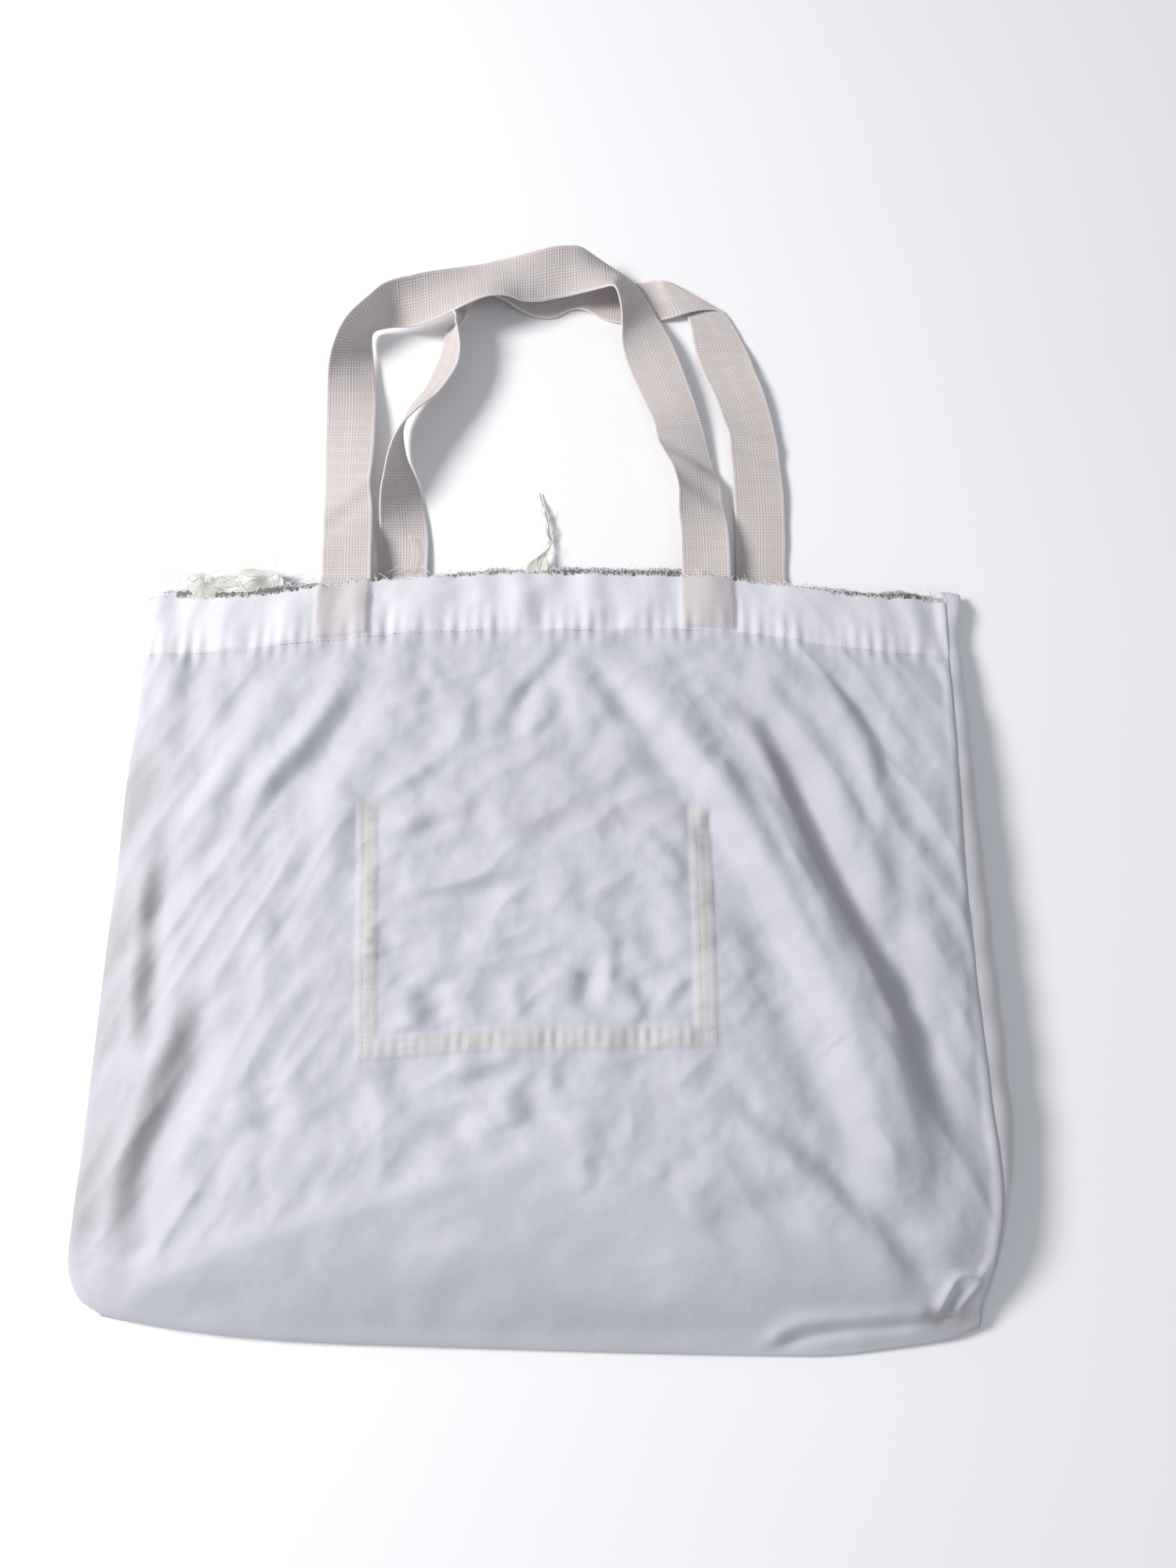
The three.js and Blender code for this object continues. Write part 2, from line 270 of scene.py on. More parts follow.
# ---------------------------------------------------------------- mesh helpers
def make(name, verts, faces, material, uvs=None, smooth=True, attrs=None):
    """verts in design mm (n, 3); uvs per vertex in metres."""
    v = np.asarray(verts, float).copy()
    v[:, 1] += CY
    v *= 0.001
    me = bpy.data.meshes.new(name)
    faces = np.asarray(faces)
    me.vertices.add(len(v))
    me.vertices.foreach_set("co", v.astype(np.float32).ravel())
    k = faces.shape[1]
    me.loops.add(faces.size)
    me.loops.foreach_set("vertex_index", faces.ravel().astype(np.int32))
    me.polygons.add(len(faces))
    me.polygons.foreach_set("loop_start", np.arange(0, faces.size, k, dtype=np.int32))
    me.polygons.foreach_set("loop_total", np.full(len(faces), k, dtype=np.int32))
    me.polygons.foreach_set("use_smooth", np.full(len(faces), smooth))
    me.update(calc_edges=True)
    me.validate()
    if uvs is None:
        uvs = v[:, :2]
    lay = me.uv_layers.new(name="flat")
    idx = np.empty(len(me.loops), np.int32)
    me.loops.foreach_get("vertex_index", idx)
    lay.data.foreach_set("uv", np.asarray(uvs, np.float32)[idx].ravel())
    for key, val in (attrs or {}).items():
        a = me.attributes.new(key, "FLOAT", "POINT")
        a.data.foreach_set("value", np.asarray(val, np.float32).ravel())
    me.materials.append(material)
    o = bpy.data.objects.new(name, me)
    bpy.context.scene.collection.objects.link(o)
    return o


def grid_faces(ny, nx, flip=False):
    j, i = np.mgrid[0:ny - 1, 0:nx - 1]
    a = (j * nx + i).ravel()
    f = np.stack([a, a + 1, a + nx + 1, a + nx], 1)
    return f[:, ::-1] if flip else f


def grid(name, X, Y, Z, material, flip=False, attrs=None, uvs=None):
    ny, nx = X.shape
    v = np.stack([X, Y, Z], -1).reshape(-1, 3)
    if uvs is None:
        uvs = v[:, :2] * 0.001
    return make(name, v, grid_faces(ny, nx, flip), material, uvs=uvs, attrs=attrs)


def thicken(o, mm, offset=-1.0):
    m = o.modifiers.new("thickness", "SOLIDIFY")
    m.thickness = mm * 0.001
    m.offset = offset
    m.use_even_offset = False
    return o


def tubes(name, lines, material, sides=5):
    """lines: list of (points (n,3) mm, radius mm or array)."""
    V, F, U = [], [], []
    base = 0
    ang = np.arange(sides) * 2 * math.pi / sides
    for pts, rad in lines:
        p = np.asarray(pts, float)
        n = len(p)
        t = np.gradient(p, axis=0)
        t /= np.linalg.norm(t, axis=1)[:, None] + 1e-9
        ref = np.array([0.31, 0.17, 0.93])
        a = np.cross(t, ref)
        a /= np.linalg.norm(a, axis=1)[:, None] + 1e-9
        b = np.cross(t, a)
        r = np.broadcast_to(np.asarray(rad, float), (n,))
        ring = p[:, None, :] + r[:, None, None] * (a[:, None, :] * np.cos(ang)[None, :, None] + b[:, None, :] * np.sin(ang)[None, :, None])
        V.append(ring.reshape(-1, 3))
        s = np.concatenate([[0], np.cumsum(np.linalg.norm(np.diff(p, axis=0), axis=1))])
        U.append(np.stack([np.repeat(s, sides) * 0.001, np.tile(ang, n) * 0.0003], 1))
        j, k = np.mgrid[0:n - 1, 0:sides]
        q = base + j * sides + k
        q2 = base + j * sides + (k + 1) % sides
        F.append(np.stack([q, q2, q2 + sides, q + sides], -1).reshape(-1, 4))
        base += n * sides
    return make(name, np.concatenate(V), np.concatenate(F), material, uvs=np.concatenate(U))


# ---------------------------------------------------------------- shape of the lying bag
CROWN = np.array([[-345, 1.5], [-331, 3.4], [-322, 12], [-308, 23], [-290, 32.5], [-268, 38.5], [-245, 41], [-190, 39.8], [-120, 38.5], [-50, 36.2], [0, 29.5], [45, 20.5], [80, 17.4], [110, 17]])
SIDE = np.array([[-345, 3.3], [-322, 3.6], [-300, 8], [-275, 11.5], [-200, 13], [-60, 11], [76, 8.6], [110, 8.6]])


def smooth01(t):
    t = np.clip(t, 0, 1)
    return t * t * (3 - 2 * t)


def soft(table, y):
    return sum(np.interp(y + i * 2.5, table[:, 0], table[:, 1]) for i in range(-4, 5)) / 9


def half_width(y):
    return 247 - 12 * np.maximum(0, (-y - 285) / 46) ** 2


def top(x, y):
    u = np.minimum(1, np.abs(x) / half_width(y))
    s = soft(SIDE, y) + 8.0 * smooth01((x - 60) / 120) * smooth01((70 - y) / 90) * smooth01((y + 318) / 45)
    return s + (soft(CROWN, y) - s) * (1 - u ** 5.2)


def table(points, key=0):
    p = np.array(sorted(points, key=lambda q: q[key]))
    return p[:, key], p[:, 1 - key]


LEFT = [(-240.1, 86), (-243, 81.9), (-243.3, 70.7), (-240.7, 40.2), (-240, 10.8), (-241.4, -10.7), (-242.4, -36.2), (-241.9, -65.6), (-241.8, -87.3), (-242.6, -108.1), (-243, -129), (-243.5, -192.9), (-244.3, -237.1), (-245.4, -249.3), (-245.8, -270.5), (-246.7, -279.7), (-246.5, -288.4), (-244.7, -297), (-240.3, -303.4), (-237.3, -308.5), (-234.2, -311.1), (-224.8, -313), (-217, -314.8)]
BOTTOM = [(-246, -300), (-240, -308.5), (-234.2, -311.1), (-224.8, -313), (-217, -314.8), (-193.4, -318.7), (-167.1, -322), (-135.3, -324.6), (-103.6, -326.1), (-56.3, -327.5), (2, -329.3), (42, -330.4), (93, -331.5), (136, -332.1), (151.2, -331.5), (182.2, -327.7), (210.6, -323.5), (215.1, -321.3), (225.1, -317.2)]
RIGHT = [(222.0, -318), (225.8, -306.7), (229.2, -291.4), (234, -274.4), (239.3, -252.4), (243, -235.9), (244.3, -217.2), (243.9, -186), (243.6, -148.7), (242.7, -134.6), (242.2, -87.3), (241.2, -58.3), (241.4, -21.2), (241.9, 17.1), (241.3, 48.1), (241, 49.6), (243.1, 68.7), (245.4, 79.8)]
SEAM = [(220.5, -312), (227.0, -292), (232.0, -268), (234.3, -249.3), (233.1, -227.1), (231.5, -208), (230.7, -179.7), (229.2, -149.3), (229, -122.1), (228.4, -109.1), (228.6, -81.3), (229.9, -45.1), (231.2, -7.9), (233.4, 41.3), (235.5, 77.7)]


def smooth_interp(points, key, t, r):
    k, v = table(points, key)
    k = k - (CY if key == 1 else 0)
    v = v - (CY if key == 0 else 0)
    return sum(np.interp(t + i * r / 4, k, v) for i in range(-4, 5)) / 9


x_left = lambda y: smooth_interp(LEFT, 1, y, 6)
x_right = lambda y: smooth_interp(RIGHT, 1, y, 6)
x_seam = lambda y: smooth_interp(SEAM, 1, y, 8)
y_bottom = lambda x: smooth_interp(BOTTOM, 0, x, 6)

MOUTH = np.array([(-250, 77), (-239, 80), (-226, 78.4), (-207, 77), (-188, 76), (-160, 79.5), (-138, 82), (-107, 87), (-72, 89), (-21, 92), (36, 90.4), (77, 90), (110, 87.6), (140, 84), (166, 80), (186, 77), (221, 76.4), (244, 73.5), (250, 73)])
STITCH = np.array([(-250, 41), (-226, 41.8), (-183, 41.8), (-129, 48.6), (-83, 53.5), (-47, 54.6), (76, 55), (105, 54.5), (129, 51), (153, 46.6), (183, 43), (203, 40.5), (250, 40)])


def soft2(t, x, r):
    return sum(np.interp(x + i * r / 3, t[:, 0], t[:, 1]) for i in range(-3, 4)) / 7


mouth = lambda x: soft2(MOUTH, x, 14)
stitch_y = lambda x: soft2(STITCH, x, 16)
mouth_back = lambda x: mouth(x) + 8.8 + 1.0 * np.sin(x / 37.0)

# ---- raster of the front cloth's outer face --------------------------------
GX0, GY0, STEP = -262.0, -352.0, 0.8
gx = GX0 + STEP * np.arange(int(524 / STEP) + 1)
gy = GY0 + STEP * np.arange(int(468 / STEP) + 1)
RX, RY = np.meshgrid(gx, gy)
rng = np.random.default_rng(41)


def field(seed, angle, long_mm, short_mm):
    """A smooth random surface of unit height whose folds run along angle (degrees from +X)."""
    g = np.random.default_rng(seed)
    n = g.standard_normal(RX.shape)
    ky = np.fft.fftfreq(RX.shape[0], STEP)[:, None] * 2 * math.pi
    kx = np.fft.rfftfreq(RX.shape[1], STEP)[None, :] * 2 * math.pi
    c, s = math.cos(math.radians(angle)), math.sin(math.radians(angle))
    kl, ks = kx * c + ky * s, -kx * s + ky * c
    filt = np.exp(-0.5 * (kl * long_mm) ** 2 - 0.5 * (ks * short_mm) ** 2) * (np.hypot(kl, ks) * short_mm)
    f = np.fft.irfft2(np.fft.rfft2(n) * filt, s=RX.shape)
    return f / f.std()


def smoothstep(t):
    t = np.clip(t, 0, 1)
    return t * t * (3 - 2 * t)


def stroke_fields(points, w0, w1):
    """Signed distance (mm, positive on the side away from the light), width and fade along a polyline."""
    p = np.array(points, float)
    # refine with a Catmull-Rom curve
    if len(p) > 2:
        q = np.vstack([2 * p[0] - p[1], p, 2 * p[-1] - p[-2]])
        out = []
        for i in range(1, len(q) - 2):
            for u in np.linspace(0, 1, 6, endpoint=False):
                a, b, c, d = q[i - 1], q[i], q[i + 1], q[i + 2]
                out.append(0.5 * ((2 * b) + (c - a) * u + (2 * a - 5 * b + 4 * c - d) * u * u + (-a + 3 * b - 3 * c + d) * u ** 3))
        out.append(p[-1])
        p = np.array(out)
    seg = np.diff(p, axis=0)
    ln = np.hypot(seg[:, 0], seg[:, 1])
    cum = np.concatenate([[0], np.cumsum(ln)])
    total = cum[-1]
    m = 3.5 * max(w0, w1)
    x0, x1 = p[:, 0].min() - m, p[:, 0].max() + m
    y0, y1 = p[:, 1].min() - m, p[:, 1].max() + m
    ix = slice(max(0, int((x0 - GX0) / STEP)), max(1, int((x1 - GX0) / STEP) + 2))
    iy = slice(max(0, int((y0 - GY0) / STEP)), max(1, int((y1 - GY0) / STEP) + 2))
    X, Y = RX[iy, ix], RY[iy, ix]
    best = np.full(X.shape, 1e9)
    sd = np.zeros(X.shape)
    al = np.zeros(X.shape)
    mean = p[-1] - p[0]
    nrm = np.array([mean[1], -mean[0]])
    flip = 1.0 if nrm @ np.array([0.80, -0.60]) > 0 else -1.0
    for k in range(len(seg)):
        if ln[k] < 1e-6:
            continue
        ux, uy = seg[k] / ln[k]
        rx, ry = X - p[k, 0], Y - p[k, 1]
        t = np.clip(rx * ux + ry * uy, 0, ln[k])
        dx, dy = rx - t * ux, ry - t * uy
        d = np.hypot(dx, dy)
        take = d < best
        best = np.where(take, d, best)
        side = np.sign(dx * uy - dy * ux) * flip
        sd = np.where(take, d * side, sd)
        al = np.where(take, (cum[k] + t) / max(total, 1e-6), al)
    w = w0 + (w1 - w0) * al
    over = np.clip(al * total, 0, None)
    fade = smoothstep(over / max(1e-6, 0.28 * total)) * smoothstep((total - over) / max(1e-6, 0.28 * total))
    return iy, ix, sd, w, fade


Z = top(RX, RY)
FOLD = np.zeros_like(Z)


def shade(points, slope, w0, w1=None, full=False):
    """A band that falls away from the light (slope > 0, dark) or towards it (slope < 0, bright)."""
    w1 = w0 if w1 is None else w1
    iy, ix, sd, w, fade = stroke_fields(points, w0, w1)
    t = sd / w
    if full:
        fade = smoothstep((fade + 0.35) / 0.6)
    FOLD[iy, ix] += -slope * w * t * np.exp(-0.5 * t * t) * fade


def ridge(points, height, w0, w1=None, sharp=False, full=False):
    w1 = w0 if w1 is None else w1
    iy, ix, sd, w, fade = stroke_fields(points, w0, w1)
    t = np.abs(sd) / w
    if full:
        fade = smoothstep((fade + 0.35) / 0.6)
    prof = np.exp(-1.3 * (np.sqrt(t * t + 0.02) - 0.14)) if sharp else np.exp(-0.5 * t * t)
    FOLD[iy, ix] += height * prof * fade


# long drag folds, upper right
shade([(92.0, 21.9), (102.9, 8.1), (116.5, -9.1), (128.0, -35.2), (138.0, -63.8), (152.1, -99.4), (170.7, -137.0), (183.3, -165.5), (191.4, -195.2), (202.2, -226.2), (212.1, -260.3)], 1.20, 6, 10.5)
ridge([(28.8, 44.3), (55.4, 13.2), (88.9, -38.7), (113.0, -78.0), (132.2, -116.5), (148.7, -155.6), (166.2, -201.2), (181.2, -246.9), (192.3, -292.0)], 4.4, 9, 14)
shade([(22.0, 42.7), (46.5, 13.1), (78.3, -33.1), (102.5, -73.7), (120.0, -108.1), (134.8, -145.5), (148.7, -189.5), (163.5, -239.3), (178.0, -284.2)], -0.80, 9, 12)
shade([(86.8, 15.7), (96.9, -4.3), (112.1, -33.0), (127.6, -64.8), (141.5, -99.5), (156.3, -133.0), (170.5, -169.6), (184.3, -205.0), (194.9, -243.2), (202.2, -277.0)], 0.42, 3.5, 5.5)
shade([(151.0, 34.2), (163.1, 17.3), (177.2, -8.4), (184.4, -27.4), (188.5, -50.4)], 0.85, 5.5, 6)
shade([(134.7, 28.8), (148.8, 8.4), (164.4, -17.3), (173.3, -41.7), (178.8, -73.0)], -0.35, 6, 7)
shade([(191.7, -59.3), (195.4, -94.3), (197.5, -132.5), (202.4, -165.2)], -0.30, 7, 8)
shade([(108.1, 36.5), (128.5, 5.7), (144.7, -28.1), (158.0, -60.1), (167.3, -94.9), (171.0, -132.9)], -0.28, 8, 9)
shade([(163.2, -60.0), (167.6, -90.6), (169.7, -120.4)], 0.25, 6, 7)
ridge([(225.4, 18.5), (220.3, -58.1), (216.2, -110.8), (215.0, -161.0), (217.9, -208.8), (221.2, -243.4)], 1.6, 8, 9)
shade([(234.7, -1.0), (231.7, -57.3), (228.2, -110.3), (225.8, -160.7), (226.2, -200.9), (228.9, -232.1)], 0.35, 4.5, 5)
# towards the bottom right corner
shade([(86.8, -196.6), (101.2, -216.6), (124.1, -234.8), (145.0, -252.7), (165.3, -272.1), (181.5, -293.8), (191.5, -309.2)], 0.75, 6, 8)
ridge([(94.2, -189.5), (117.3, -212.8), (147.4, -243.0), (170.1, -272.9), (188.9, -303.6)], 1.2, 7, 6)
shade([(93.7, -108.2), (108.6, -131.2), (128.3, -151.6), (141.4, -173.7), (151.0, -197.3)], 0.32, 6, 7)
shade([(99.8, -147.6), (105.5, -157.7), (111.9, -169.8)], 0.35, 8)
shade([(105.5, -208.9), (124.7, -224.2), (138.1, -231.8)], -0.22, 7)
shade([(105.8, -252.3), (88.1, -262.3), (76.3, -276.4)], 0.28, 8)
shade([(143.4, -244.9), (119.6, -250.4), (95.8, -265.2)], 0.16, 9)
shade([(84.8, -235.5), (72.8, -244.8), (61.0, -252.3)], -0.34, 6)
# upper left
shade([(-105.8, 36.5), (-116.7, 8.2), (-130.3, -17.6), (-145.9, -37.3), (-158.2, -55.4), (-163.7, -72.2)], 0.70, 6, 7)
shade([(-88.5, 30.2), (-103.3, -8.2), (-123.0, -50.5), (-143.1, -79.9)], -0.34, 7, 8)
shade([(-149.5, 36.9), (-174.1, -0.8), (-191.8, -42.8), (-224.3, -62.0)], -0.36, 8, 9)
shade([(-133.6, 28.9), (-154.8, -3.7), (-174.7, -34.3), (-186.8, -59.0)], 0.30, 6, 7)
shade([(-121.4, 28.8), (-142.8, -11.2), (-161.5, -32.3)], -0.26, 5.5, 6)
shade([(-92.8, -33.0), (-106.2, -71.5), (-120.1, -104.7), (-134.7, -122.7)], 0.36, 8, 8)
shade([(-113.1, -69.2), (-125.1, -104.7), (-144.7, -140.5)], -0.24, 7, 7)
shade([(-125.9, -141.4), (-133.2, -155.6), (-138.6, -165.7)], -0.28, 5)
shade([(-140.6, -112.2), (-144.7, -124.7), (-138.8, -135.2)], 0.22, 6)
shade([(-221.8, 80.4), (-215.0, 39.1), (-212.8, -1.1), (-216.5, -35.2)], 0.42, 8.5, 8)
shade([(-206.0, 77.0), (-202.1, 58.9), (-198.3, 38.2)], -0.4, 5)
shade([(-164.6, 78.5), (-161.0, 60.3), (-155.2, 39.1)], -0.34, 8)
shade([(-187.2, 79.0), (-187.5, 63.5), (-187.4, 45.5)], 0.25, 6)
shade([(-172.8, -64.0), (-185.0, -76.8), (-195.5, -93.0)], 0.40, 6)
# left edge
shade([(-211.1, -62.2), (-214.3, -84.2), (-215.9, -110.2), (-214.6, -144.1), (-213.0, -168.8), (-211.5, -200.9)], 0.72, 6, 6)
shade([(-184.2, -149.8), (-189.7, -181.3), (-199.6, -210.8), (-208.7, -239.7), (-214.3, -266.2), (-217.0, -290.9)], 0.85, 9, 8)
ridge([(-242.2, -26.8), (-230.3, -83.0), (-230.9, -139.2), (-229.4, -200.8), (-231.3, -255.3)], 1.8, 7)
shade([(-167.7, -165.5), (-172.8, -201.1), (-184.0, -235.7), (-194.3, -265.8), (-203.2, -296.2)], -0.22, 8, 6)
# centre above the pocket
shade([(12.0, 47.9), (-2.4, 31.2), (-15.5, 14.7), (-22.9, -5.3)], 0.55, 5)
shade([(6.5, -0.4), (-3.5, -9.2), (-12.1, -16.5)], 0.35, 4)
shade([(22.0, 36.5), (29.2, 16.7), (44.9, -4.4), (61.4, -15.0)], 0.40, 6, 7)
shade([(8.5, 26.0), (12.3, 1.6), (22.0, -17.9)], -0.34, 6)
shade([(-0.4, 21.9), (-12.6, 4.5), (-18.2, -17.9)], -0.40, 6)
shade([(-36.3, 20.8), (-43.2, -4.4), (-47.5, -28.4)], 0.28, 5)
shade([(-23.3, 36.5), (-36.1, 15.7), (-41.7, -9.2)], -0.26, 5)
shade([(-61.8, 36.5), (-67.3, 15.7), (-78.5, -4.4)], 0.30, 5)
shade([(-77.7, 36.5), (-66.7, 20.9), (-62.3, 5.6)], -0.22, 4)
shade([(26.4, -9.2), (39.4, -28.4), (56.6, -35.4)], -0.22, 6)
shade([(-52.0, -23.6), (-68.6, -38.7), (-85.2, -49.3), (-99.8, -56.9)], 0.30, 4)
# pocket area
shade([(-89.7, -78.1), (-70.6, -67.6), (-50.5, -61.4), (-28.5, -52.5)], 0.42, 4.5)
shade([(-87.0, -111.6), (-66.5, -104.8), (-40.8, -99.7), (-15.8, -94.5), (3.1, -89.4)], 0.42, 4.5)
shade([(-84.5, -62.7), (-59.4, -51.6), (-33.9, -44.7)], -0.30, 5)
shade([(-82.7, -97.5), (-58.0, -87.7), (-32.9, -80.7), (-11.8, -77.2)], -0.26, 5)
shade([(-94.8, -122.9), (-87.7, -131.2), (-84.7, -140.7)], 0.42, 5)
shade([(-68.0, -148.8), (-65.0, -161.8), (-59.6, -175.4)], 0.62, 8)
shade([(-55.4, -155.7), (-47.0, -165.8), (-43.4, -177.7)], -0.30, 7)
shade([(-11.5, -148.8), (-13.8, -158.6), (-9.6, -170.6)], 0.36, 4)
shade([(1.5, -145.6), (-1.6, -157.8), (1.8, -169.8)], -0.36, 5)
shade([(19.5, -142.3), (16.3, -155.7), (13.1, -167.8)], 0.6, 6.5)
shade([(31.1, -133.3), (28.5, -147.6), (26.1, -165.8)], -0.40, 5)
shade([(43.3, -145.6), (47.2, -158.6), (55.2, -169.8)], 0.60, 6)
shade([(38.6, -122.9), (36.0, -141.5), (35.0, -161.8)], 0.26, 3.5)
shade([(54.6, -103.9), (60.9, -122.9), (67.1, -145.6)], -0.36, 8)
shade([(52.6, -70.2), (66.3, -80.7), (78.9, -99.7)], 0.46, 4.5)
shade([(43.9, -86.8), (57.6, -99.7), (67.7, -116.6)], -0.28, 5)
shade([(76.1, -145.6), (70.1, -155.7), (60.2, -164.2)], 0.36, 4)
shade([(-31.8, -122.9), (-11.2, -117.5), (9.5, -114.1)], 0.30, 4)
shade([(34.9, -49.3), (47.6, -57.0), (64.6, -62.7)], 0.26, 5)
shade([(0.6, -53.8), (17.7, -64.9), (26.2, -78.1)], -0.2, 8)
# below the pocket
shade([(-47.8, -201.2), (-30.0, -197.3), (-9.3, -189.5)], 0.55, 5)
shade([(-15.5, -199.3), (-11.3, -212.8), (-8.7, -226.1)], 0.45, 7)
shade([(2.0, -192.7), (6.0, -199.3), (8.1, -207.0)], 0.35, 4)
shade([(22.0, -236.2), (23.6, -244.8), (27.5, -252.3)], 0.35, 5)
shade([(-29.6, -212.8), (-37.2, -224.2), (-40.8, -235.5)], -0.26, 8)
shade([(-85.9, -197.3), (-77.4, -208.9), (-72.7, -224.2)], 0.26, 7)
shade([(-148.9, -205.1), (-145.6, -216.6), (-148.6, -228.0)], 0.34, 8)
shade([(-120.0, -197.3), (-124.6, -205.8), (-125.5, -216.6)], 0.26, 6)
shade([(-148.0, -235.5), (-143.0, -250.5), (-137.7, -262.4)], 0.22, 4)
shade([(-170.4, -226.1), (-174.5, -239.4), (-178.5, -250.7)], 0.30, 9)
shade([(-111.7, -231.7), (-92.6, -220.4), (-81.1, -212.8)], -0.2, 9)
shade([(37.9, -205.1), (49.8, -212.8), (65.5, -220.4)], 0.2, 8)
shade([(73.9, -199.3), (85.5, -212.8), (93.0, -224.2)], 0.2, 6)

# the crease where the front turns down to the boxed bottom
ridge([(-208.9, -304.9), (-169.2, -288.0), (-129.5, -274.2), (-90.7, -263.0), (-52.0, -251.9), (-13.2, -240.7), (4.3, -234.7)], 2.6, 15, 20, sharp=True, full=True)
ridge([(4.3, -234.7), (25.9, -247.4), (64.7, -268.2), (103.5, -287.7), (143.0, -300.8), (187.7, -312.4)], 2.2, 18, 12, sharp=True, full=True)
# rolled strip and flap at the bottom right corner
shade([(115.6, -333.9), (125.1, -325.1), (144.6, -321.0), (172.3, -318.7), (198.3, -316.6)], 1.15, 4.5, 3.5, full=True)
ridge([(125.4, -331.5), (153.1, -327.6), (180.9, -325.3), (204.7, -319.1)], 2.6, 4)
ridge([(197.6, -313.3), (202.4, -303.9), (206.9, -296.9), (212.6, -295.9), (219.4, -296.5), (223.3, -290.0)], 2.6, 2.8, sharp=True, full=True)
shade([(199.5, -315.8), (204.3, -306.3), (208.7, -299.3)], 0.8, 3.0)
ridge([(206.1, -316.7), (210.4, -309.6), (215.7, -303.4), (222.0, -296.5)], 2.4, 2.6, sharp=True)
shade([(-13.0, -264.5), (25.9, -269.7), (64.7, -276.4)], 0.10, 14)
shade([(-191.4, -313.6), (-157.7, -299.4), (-118.0, -293.4)], 0.16, 9)
shade([(-82.8, -287.6), (-43.9, -276.4), (-5.2, -272.7)], -0.12, 10)
shade([(2.5, -248.5), (25.9, -262.3), (60.8, -287.6), (84.4, -303.8)], 0.14, 9, 12)
shade([(-29.1, -315.0), (25.9, -313.4), (81.0, -316.7)], 0.12, 8)
shade([(88.0, -284.6), (115.5, -299.9), (147.6, -310.3)], 0.18, 6)
shade([(-129.7, -291.5), (-71.3, -296.0), (-13.0, -299.9)], 0.06, 16)

# random wrinkles between the long folds
wl = smoothstep((-60 - RX) / 90)
wr = smoothstep((RX - 60) / 80)
wc = np.clip(1 - wl - wr, 0, 1)
up = smoothstep((RY + 210) / 120)
drag = wl * field(7, 58, 22, 5.2) + wr * field(8, -62, 26, 6.0) + wc * field(9, 20, 9, 5.5)
fine = wl * field(17, 60, 9, 2.6) + wr * field(18, -60, 9, 2.8) + wc * field(19, -10, 5, 2.8)
iso = field(27, 0, 8, 8)
crumple = -np.abs(field(28, 30, 5, 5)) - 0.6 * np.abs(field(29, 0, 3.2, 3.2))
line_l = np.interp(RX, [-235, 0, 190], [-303, -240, -303])      # the crease line
calm = 0.16 + 0.84 * smoothstep((RY - line_l - 2) / 10)                       # nearly flat cloth below the crease
FOLD += (0.42 * drag * (0.55 + 0.45 * up) + 0.055 * fine + 0.60 * iso) * (0.22 + 0.78 * calm)
FOLD += 0.16 * crumple * (0.15 + 0.85 * calm)
keen = -(wl * np.abs(field(37, 57, 30, 6.5)) + wr * np.abs(field(38, -62, 34, 7.5)) + wc * np.abs(field(39, 30, 12, 7.5)))
FOLD += 0.62 * keen * (0.05 + 0.95 * calm)

# pull the wrinkles flat towards the outline
edge_l = smoothstep((RX - x_left(RY)) / 8)
edge_r = smoothstep((x_seam(RY) - RX) / 8)
edge_b = smoothstep((RY - y_bottom(RX)) / 12)
edge_m = 1 - 0.55 * smoothstep((RY - stitch_y(RX) + 6) / 12)
Z = Z + FOLD * edge_l * edge_r * edge_b * edge_m


def waves(t, pitch, seed, spread=0.35, n=5):
    g = np.random.default_rng(seed)
    s = 0
    for _ in range(n):
        s = s + np.sin(2 * math.pi * t / (pitch * (1 + spread * g.uniform(-1, 1))) + g.uniform(0, 6.28))
    return s / math.sqrt(n / 2)


# hem band along the mouth: doubled cloth, puckers that start at the stitch line
SX = stitch_y(RX)
inband = smoothstep((RY - SX + 0.8) / 1.6)
above = RY - SX
pk = np.where(above > 0, np.exp(-(above / 13.0) ** 2), np.exp(-(above / 8.0) ** 2))
Z += 0.9 * inband
Z += 0.42 * waves(RX, 8.6, 51) * pk
Z += 0.30 * waves(RX + 0.15 * above, 23, 52, 0.3) * smoothstep((above + 10) / 16)
Z += 0.65 * waves(RX - 0.2 * above, 46, 53, 0.3) * smoothstep((above + 4) / 10)
Z -= 0.75 * np.exp(-((above) / 1.3) ** 2)
# raised shapes of the strap ends between the two layers of the hem
under = np.zeros_like(Z)
for x0 in (-122.4, 92.8):
    dx = np.abs(RX - x0)
    band = smoothstep((15.9 - dx) / 0.9) * smoothstep((above - 1.0) / 1.2)
    under = np.maximum(under, band)
Z += 1.15 * under * (1 - 0.0)
Z -= 0.6 * np.exp(-((RX - (-122.4 + 17.2)) / 1.1) ** 2) * smoothstep((above + 8) / 4) * smoothstep((34 - above) / 8)
Z -= 0.6 * np.exp(-((RX - (92.8 + 17.6)) / 1.1) ** 2) * smoothstep((above + 1) / 4) * smoothstep((30 - above) / 10)

